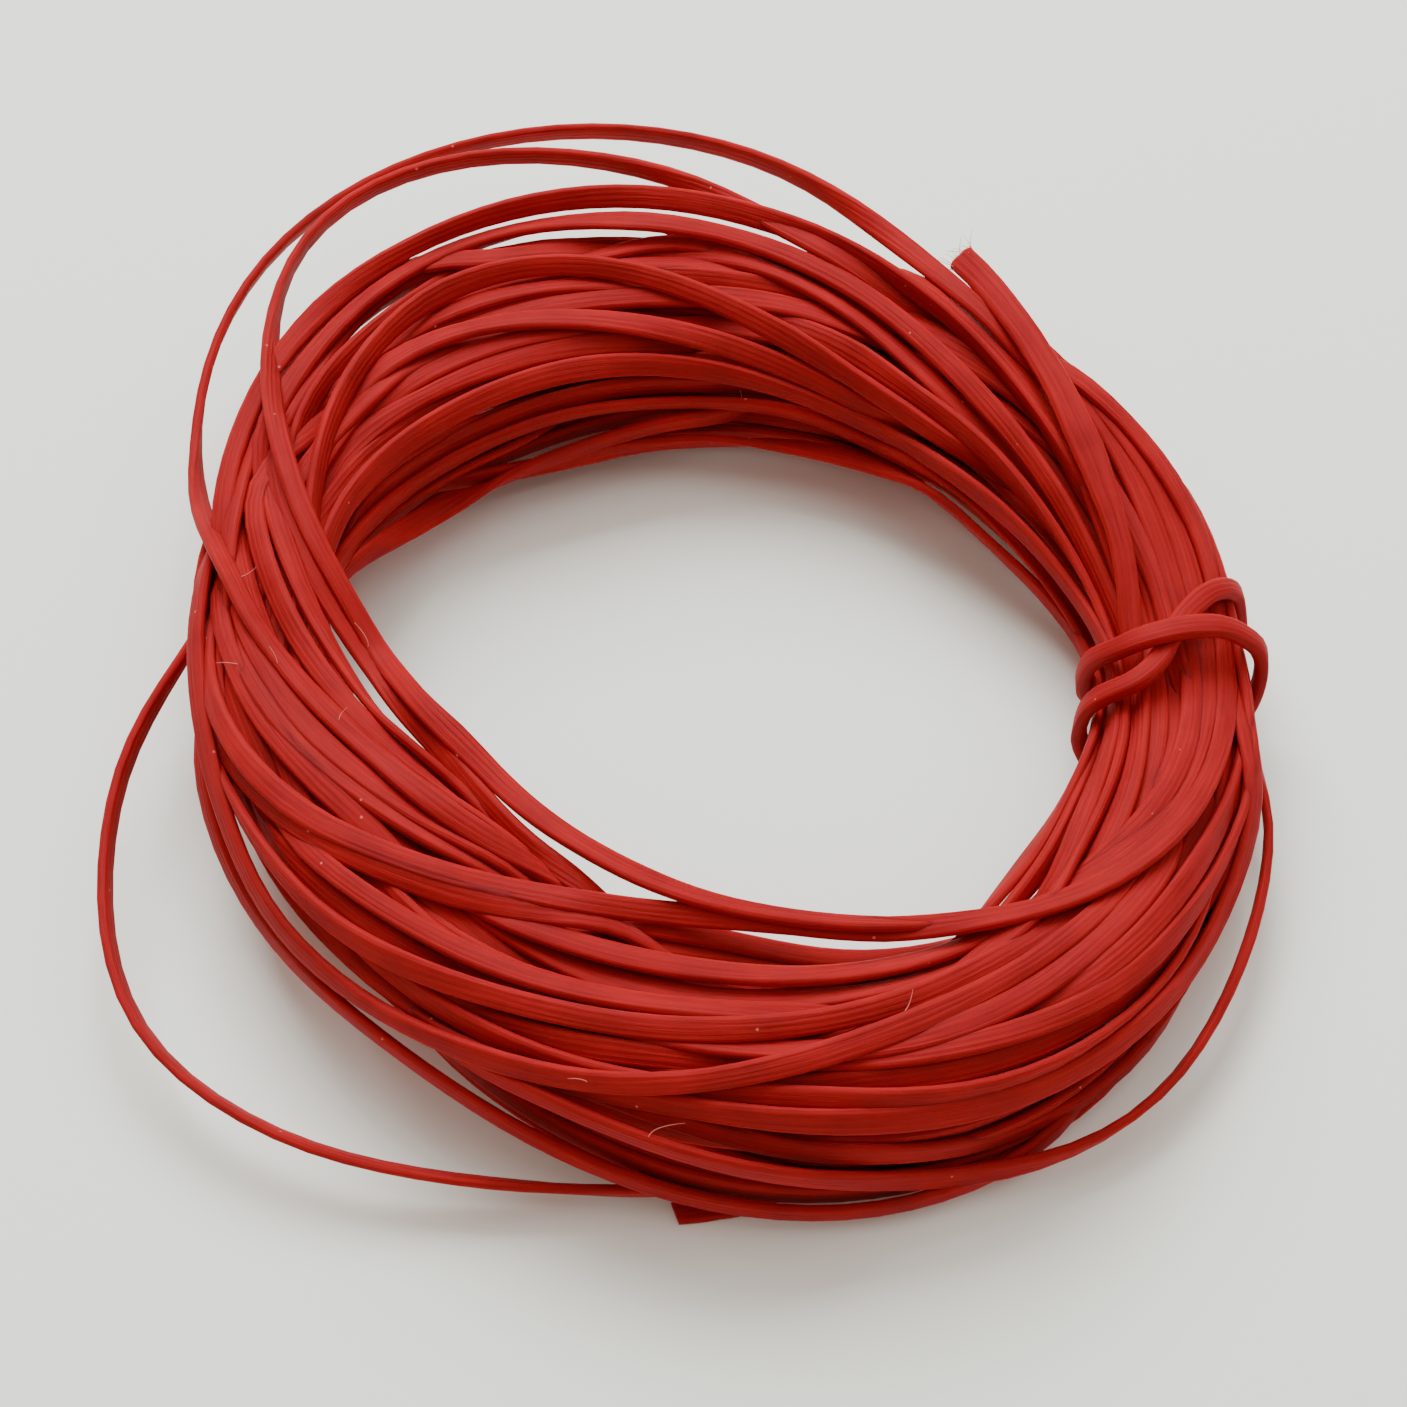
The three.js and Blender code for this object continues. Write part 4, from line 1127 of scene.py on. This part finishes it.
def standing_hairs(cord):
    """The lines of the single fibres that stand out of the turns, where the camera sees them."""
    right, up, back = camera_axes()
    edges = edge_lines()
    lines = []
    for angle, lane, turned, curl, reach in STANDING_HAIRS:
        place = seen_place(edges, np.array([float(angle)]), np.array([lane]), 0.0)[0]
        _, root, normal, _ = cord.closest_point_on_mesh(Vector(place))
        cosine, sine = math.cos(math.radians(turned)), math.sin(math.radians(turned))
        heading = unit(right * cosine + up * sine + STANDING_RISE * np.array(normal))
        across = up * cosine - right * sine
        lines.append(hair(np.array(root) - STANDING_DEPTH * back, heading, curl * across, reach))
    return lines


def hair_tubes(name, lines):
    """One mesh of round tapered hairs along these lines."""
    bpy.ops.object.select_all(action="DESELECT")
    bpy.ops.object.add(type="CURVE")
    piece = bpy.context.object
    piece.name = name
    piece.data.dimensions = "3D"
    piece.data.bevel_depth = HAIR_RADIUS
    piece.data.bevel_resolution = 1
    piece.data.use_fill_caps = True
    for line in lines:
        spline = piece.data.splines.new("POLY")
        spline.points.add(len(line) - 1)
        spline.points.foreach_set("co", np.column_stack((line, np.ones(len(line)))).ravel())
        spline.points.foreach_set("radius", np.linspace(1.0, HAIR_TIP_SHARE, len(line)))
    bpy.ops.object.convert(target="MESH")
    piece = bpy.context.object
    piece.data.name = name
    return piece


# Finishes

def new_group(name, inputs, outputs):
    """An empty shader node group with these named sockets: itself, its input and its output."""
    group = bpy.data.node_groups.new(name, "ShaderNodeTree")
    for label, kind, default in inputs:
        socket = group.interface.new_socket(name=label, in_out="INPUT", socket_type=kind)
        socket.default_value = default
    for label, kind in outputs:
        group.interface.new_socket(name=label, in_out="OUTPUT", socket_type=kind)
    return group, group.nodes.new("NodeGroupInput"), group.nodes.new("NodeGroupOutput")


def add_node(tree, kind, **values):
    """A node of that kind with these properties set."""
    node = tree.nodes.new(kind)
    for name, value in values.items():
        setattr(node, name, value)
    return node


def maths(tree, operation, first, second=None):
    """The result of a Math node on two sockets or numbers, or on one."""
    node = add_node(tree, "ShaderNodeMath", operation=operation)
    for socket, value in zip(node.inputs, (first, second)):
        if value is None:
            continue
        if hasattr(value, "links"):
            tree.links.new(value, socket)
        else:
            socket.default_value = value
    return node.outputs[0]


def noise(tree, place, scale, detail=2.0):
    """The value of a cloudy pattern at this place."""
    node = add_node(tree, "ShaderNodeTexNoise")
    node.inputs["Scale"].default_value = scale
    node.inputs["Detail"].default_value = detail
    tree.links.new(place, node.inputs["Vector"])
    return node.outputs[0]


def colours_by(tree, value, *stops):
    """The colour for this value, between two stops that are each a value and a colour."""
    node = add_node(tree, "ShaderNodeValToRGB")
    for element, (place, colour) in zip(node.color_ramp.elements, stops):
        element.position = place
        element.color = (*colour, 1.0)
    tree.links.new(value, node.inputs[0])
    return node.outputs[0]


def coloured_where(tree, factor, under, colour):
    """The colour given first, and the plain one where the factor is 1."""
    node = add_node(tree, "ShaderNodeMix", data_type="RGBA")
    tree.links.new(factor, node.inputs["Factor"])
    first, second = (socket for socket in node.inputs if socket.type == "RGBA")
    tree.links.new(under, first)
    second.default_value = (*colour, 1.0)
    return next(socket for socket in node.outputs if socket.type == "RGBA")


def uneven_gloss(tree, value, gloss, shader):
    """Sets the roughness to the first number of gloss and this value's share of the second."""
    rough = maths(tree, "ADD", maths(tree, "MULTIPLY", value, gloss[1]), gloss[0])
    tree.links.new(rough, shader.inputs["Roughness"])


def new_material(name, sockets):
    """A new material with these values on its shader: itself, its node tree and its shader."""
    material = bpy.data.materials.new(name)
    material.use_nodes = True
    shader = material.node_tree.nodes["Principled BSDF"]
    for socket, value in sockets.items():
        shader.inputs[socket].default_value = value
    return material, material.node_tree, shader


def fibre_group():
    """Fine fibres that run along a flat cord, from its UV map in millimetres along and across."""
    group, into, out = new_group(
        "Long fibres",
        (("Along", "NodeSocketFloat", FIBRES_ALONG), ("Across", "NodeSocketFloat", FIBRES_ACROSS),
         ("Ridges", "NodeSocketFloat", RIDGE_DEPTH)),
        (("Height", "NodeSocketFloat"), ("Streak", "NodeSocketFloat")),
    )
    uv = add_node(group, "ShaderNodeUVMap", uv_map="cord")
    split = add_node(group, "ShaderNodeSeparateXYZ")
    group.links.new(uv.outputs["UV"], split.inputs[0])
    along, across = split.outputs[0], split.outputs[1]
    layers = []
    for finer, _ in FIBRE_LAYERS:
        stretch = add_node(group, "ShaderNodeCombineXYZ")
        group.links.new(maths(group, "MULTIPLY", along, into.outputs["Along"]), stretch.inputs[0])
        lines = maths(group, "MULTIPLY", across, into.outputs["Across"])
        group.links.new(maths(group, "MULTIPLY", lines, finer), stretch.inputs[1])
        stretch.inputs[2].default_value = FIBRE_LAYERS_APART * finer
        layers.append(noise(group, stretch.outputs[0], 1.0, FIBRE_DETAIL))
    streak = maths(group, "ADD", *(maths(group, "MULTIPLY", layer, share)
                                   for layer, (_, share) in zip(layers, FIBRE_LAYERS)))
    wander = maths(group, "MULTIPLY", layers[0], RIDGE_WANDER)
    wave = maths(group, "ADD", maths(group, "MULTIPLY", across, 2 * math.pi / RIDGE_WIDTH), wander)
    ridge = maths(group, "MULTIPLY", maths(group, "SINE", wave), into.outputs["Ridges"])
    group.links.new(maths(group, "ADD", streak, ridge), out.inputs["Height"])
    group.links.new(streak, out.inputs["Streak"])
    return group


def cord_material(finish):
    """Red flat cord of long fibres under a satin wax coat, with specks of loose wax, and painted bounce
    light: light that bounces off the cord meets a brighter red than the camera sees.
    """
    material, tree, shader = new_material("Waxed flat cord", CORD_SHADER)
    fibres = add_node(tree, "ShaderNodeGroup", node_tree=fibre_group())
    place = add_node(tree, "ShaderNodeTexCoord").outputs["Object"]
    uv = add_node(tree, "ShaderNodeUVMap", uv_map="cord").outputs["UV"]
    uneven = noise(tree, place, UNEVEN_SCALE, UNEVEN_DETAIL)
    patch = noise(tree, uv, PATCH_SCALE, PATCH_DETAIL)
    blend = maths(tree, "MULTIPLY", maths(tree, "ADD", uneven, patch), 0.5)
    streak = maths(tree, "SUBTRACT", fibres.outputs["Streak"], 0.5)
    streak = maths(tree, "MULTIPLY", streak, STREAK_STRENGTH)
    colour = colours_by(tree, maths(tree, "ADD", blend, streak),
                        (DEEP_AT, finish.deep_red), (PLAIN_AT, finish.cord_red))
    specks = add_node(tree, "ShaderNodeTexVoronoi", feature="F1")
    specks.inputs["Scale"].default_value = SPECK_SCALE
    tree.links.new(place, specks.inputs["Vector"])
    chance = add_node(tree, "ShaderNodeSeparateColor")
    tree.links.new(specks.outputs["Color"], chance.inputs[0])
    few = maths(tree, "GREATER_THAN", chance.outputs[0], 1.0 - finish.wax_specks)
    near = maths(tree, "LESS_THAN", specks.outputs["Distance"], SPECK_SIZE)
    colour = coloured_where(tree, maths(tree, "MULTIPLY", few, near), colour, finish.wax)
    # Painted bounce light: light that bounces off the cord meets a brighter red than the camera sees,
    # which lifts the shade between the turns and reddens the floor near the ring
    path = add_node(tree, "ShaderNodeLightPath")
    colour = coloured_where(tree, path.outputs["Is Diffuse Ray"], colour, finish.painted_bounce_red)
    tree.links.new(colour, shader.inputs["Base Color"])
    bump = add_node(tree, "ShaderNodeBump")
    bump.inputs["Strength"].default_value = BUMP_STRENGTH
    bump.inputs["Distance"].default_value = BUMP_DEPTH
    tree.links.new(fibres.outputs["Height"], bump.inputs["Height"])
    tree.links.new(bump.outputs[0], shader.inputs["Normal"])
    uneven_gloss(tree, patch, CORD_GLOSS, shader)
    return material


def fibre_material(finish):
    """Pale pinkish loose fibres."""
    material, tree, shader = new_material("Loose fibres", {})
    place = add_node(tree, "ShaderNodeTexCoord").outputs["Object"]
    uneven = noise(tree, place, FIBRE_SCALE)
    colour = colours_by(tree, uneven, (FIBRE_WAX_AT, finish.wax), (FIBRE_PINK_AT, finish.fibre_pink))
    tree.links.new(colour, shader.inputs["Base Color"])
    uneven_gloss(tree, uneven, FIBRE_GLOSS, shader)
    return material


def floor_material():
    """Plain pale paper."""
    material, _, _ = new_material("Pale floor", FLOOR_SHADER)
    return material


# Settings that a user may change

class SkeinSizes(bpy.types.PropertyGroup):
    """Sizes of the cord and of its frayed end"""
    cord_width: bpy.props.FloatProperty(
        name="Cord width", description="Width of the flat cord",
        default=CORD_WIDTH, min=0.0005, max=0.004, unit="LENGTH")
    cord_thickness: bpy.props.FloatProperty(
        name="Cord thickness", description="Thickness of the flat cord",
        default=CORD_THICKNESS, min=0.0002, max=0.002, unit="LENGTH")
    fibre_length: bpy.props.FloatProperty(
        name="Fibre length", description="How far the frayed fibres stand out of the loose end",
        default=0.0015, min=0.0005, max=0.006, unit="LENGTH")


class SkeinFinish(bpy.types.PropertyGroup):
    """Colours of the cord, its wax and its loose fibres, and the brighter red of its painted bounce light
    """
    cord_red: bpy.props.FloatVectorProperty(
        name="Cord colour", description="Colour of the cord where the wax is thin",
        default=(0.355, 0.0125, 0.0142), size=3, min=0.0, max=1.0, subtype="COLOR")
    deep_red: bpy.props.FloatVectorProperty(
        name="Deep colour", description="Colour of the cord where the wax is thick",
        default=(0.215, 0.0085, 0.0098), size=3, min=0.0, max=1.0, subtype="COLOR")
    wax: bpy.props.FloatVectorProperty(
        name="Wax colour", description="Colour of loose specks of wax",
        default=(0.55, 0.10, 0.08), size=3, min=0.0, max=1.0, subtype="COLOR")
    # Painted bounce light: a brighter red than the cord's own, seen only by light that bounces off it; it
    # lifts the shade between the turns and reddens the floor near the ring
    painted_bounce_red: bpy.props.FloatVectorProperty(
        name="Red glow", description="Colour of the light that the cord throws on what lies near it",
        default=(0.44, 0.065, 0.060), size=3, min=0.0, max=1.0, subtype="COLOR")
    fibre_pink: bpy.props.FloatVectorProperty(
        name="Fibre colour", description="Colour of the loose fibres where the light comes through",
        default=(0.68, 0.30, 0.25), size=3, min=0.0, max=1.0, subtype="COLOR")
    wax_specks: bpy.props.FloatProperty(
        name="Wax specks", description="Share of the places that hold a speck of wax",
        default=0.03, min=0.0, max=1.0, subtype="FACTOR")


# The steps, in their order

class SKEIN_OT_camera(bpy.types.Operator):
    """Sets the camera above the front of the skein"""
    bl_idname = "skein.camera"
    bl_label = "Set camera"

    def execute(self, context):
        right, up, back = camera_axes()
        bpy.ops.object.camera_add(location=CAMERA_PLACE)
        camera = context.object
        camera.name = "camera"
        turn = Matrix((right, up, back)).transposed()
        camera.rotation_euler = turn.to_euler()
        camera.data.lens = CAMERA_LENS_MM
        camera.data.sensor_width = CAMERA_SENSOR_MM
        camera.data.clip_start = CAMERA_CLIP_START
        context.scene.camera = camera
        return {"FINISHED"}


class SKEIN_OT_wind_cord(bpy.types.Operator):
    """Winds the cord into its ring, ties it with its own end and leaves the other end out"""
    bl_idname = "skein.wind_cord"
    bl_label = "Wind cord"

    def execute(self, context):
        sizes = context.scene.skein_sizes
        route, tangent, side, width, thickness = cord_route()
        width = width * sizes.cord_width / CORD_WIDTH
        thickness = thickness * sizes.cord_thickness / CORD_THICKNESS
        cord = sweep("skein_cord", route, tangent, side, width, thickness)
        cord.data.materials.append(cord_material(context.scene.skein_finish))
        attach(cord, "root")
        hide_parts(*CORD_NODES)
        return {"FINISHED"}


class SKEIN_OT_fray_cord(bpy.types.Operator):
    """Frays the cord's two ends and lets single fibres stand out of its turns"""
    bl_idname = "skein.fray_cord"
    bl_label = "Fray cord"

    def execute(self, context):
        cord = bpy.data.objects.get("skein_cord")
        if cord is None:
            raise RuntimeError("the cord is wound before it is frayed")
        points = np.empty(3 * len(cord.data.vertices))
        cord.data.vertices.foreach_get("co", points)
        rings = points.reshape(-1, len(cord_section()), 3)
        context.view_layer.update()
        lines = end_hairs(rings, context.scene.skein_sizes.fibre_length) + standing_hairs(cord)
        fibres = hair_tubes("loose_fibres", lines)
        fibres.data.materials.append(fibre_material(context.scene.skein_finish))
        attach(fibres, "root")
        return {"FINISHED"}


class SKEIN_OT_stage(bpy.types.Operator):
    """Puts a pale floor under the skein and soft light round it"""
    bl_idname = "skein.stage"
    bl_label = "Set stage"

    def execute(self, context):
        bpy.ops.mesh.primitive_plane_add(size=FLOOR_SIZE, location=(0.0, 0.0, -FLOOR_DROP))
        floor = context.object
        floor.name = "floor"
        bpy.ops.object.transform_apply(location=True, rotation=True, scale=True)
        floor.data.materials.append(floor_material())
        for name, place, size, power, colour in LIGHTS:
            bpy.ops.object.light_add(type="AREA", location=place)
            lamp = context.object
            lamp.name = name
            lamp.data.shape = "SQUARE"
            lamp.data.size = size
            lamp.data.energy = power
            lamp.data.color = colour
            lamp.rotation_euler = (-Vector(place)).to_track_quat("-Z", "Y").to_euler()
        world = bpy.data.worlds.new("Soft room")
        world.use_nodes = True
        room = world.node_tree.nodes["Background"]
        room.inputs["Color"].default_value = ROOM_COLOUR
        room.inputs["Strength"].default_value = ROOM_LIGHT
        context.scene.world = world
        return {"FINISHED"}


class SKEIN_PT_sidebar(bpy.types.Panel):
    """Lists the skein's settings and steps"""
    bl_idname = "SKEIN_PT_sidebar"
    bl_label = "Skein of flat cord"
    bl_space_type = "VIEW_3D"
    bl_region_type = "UI"
    bl_category = "Skein"

    def draw(self, context):
        layout = self.layout
        for group in (context.scene.skein_sizes, context.scene.skein_finish):
            box = layout.box()
            for name in group.bl_rna.properties.keys():
                if name not in ("rna_type", "name"):
                    box.prop(group, name)
        for name in ("skein.camera", "skein.wind_cord", "skein.fray_cord", "skein.stage"):
            layout.operator(name)


CLASSES = (SkeinSizes, SkeinFinish, SKEIN_OT_camera, SKEIN_OT_wind_cord, SKEIN_OT_fray_cord,
           SKEIN_OT_stage, SKEIN_PT_sidebar)


def register():
    for item in CLASSES:
        bpy.utils.register_class(item)
    bpy.types.Scene.skein_sizes = bpy.props.PointerProperty(type=SkeinSizes)
    bpy.types.Scene.skein_finish = bpy.props.PointerProperty(type=SkeinFinish)


def unregister():
    del bpy.types.Scene.skein_finish
    del bpy.types.Scene.skein_sizes
    for item in reversed(CLASSES):
        bpy.utils.unregister_class(item)


def main():
    """Runs the steps in their order."""
    register()
    bpy.ops.object.select_all(action="DESELECT")
    bpy.ops.skein.camera()
    bpy.ops.skein.wind_cord()
    bpy.ops.skein.fray_cord()
    bpy.ops.skein.stage()


if __name__ == "__main__":
    main()
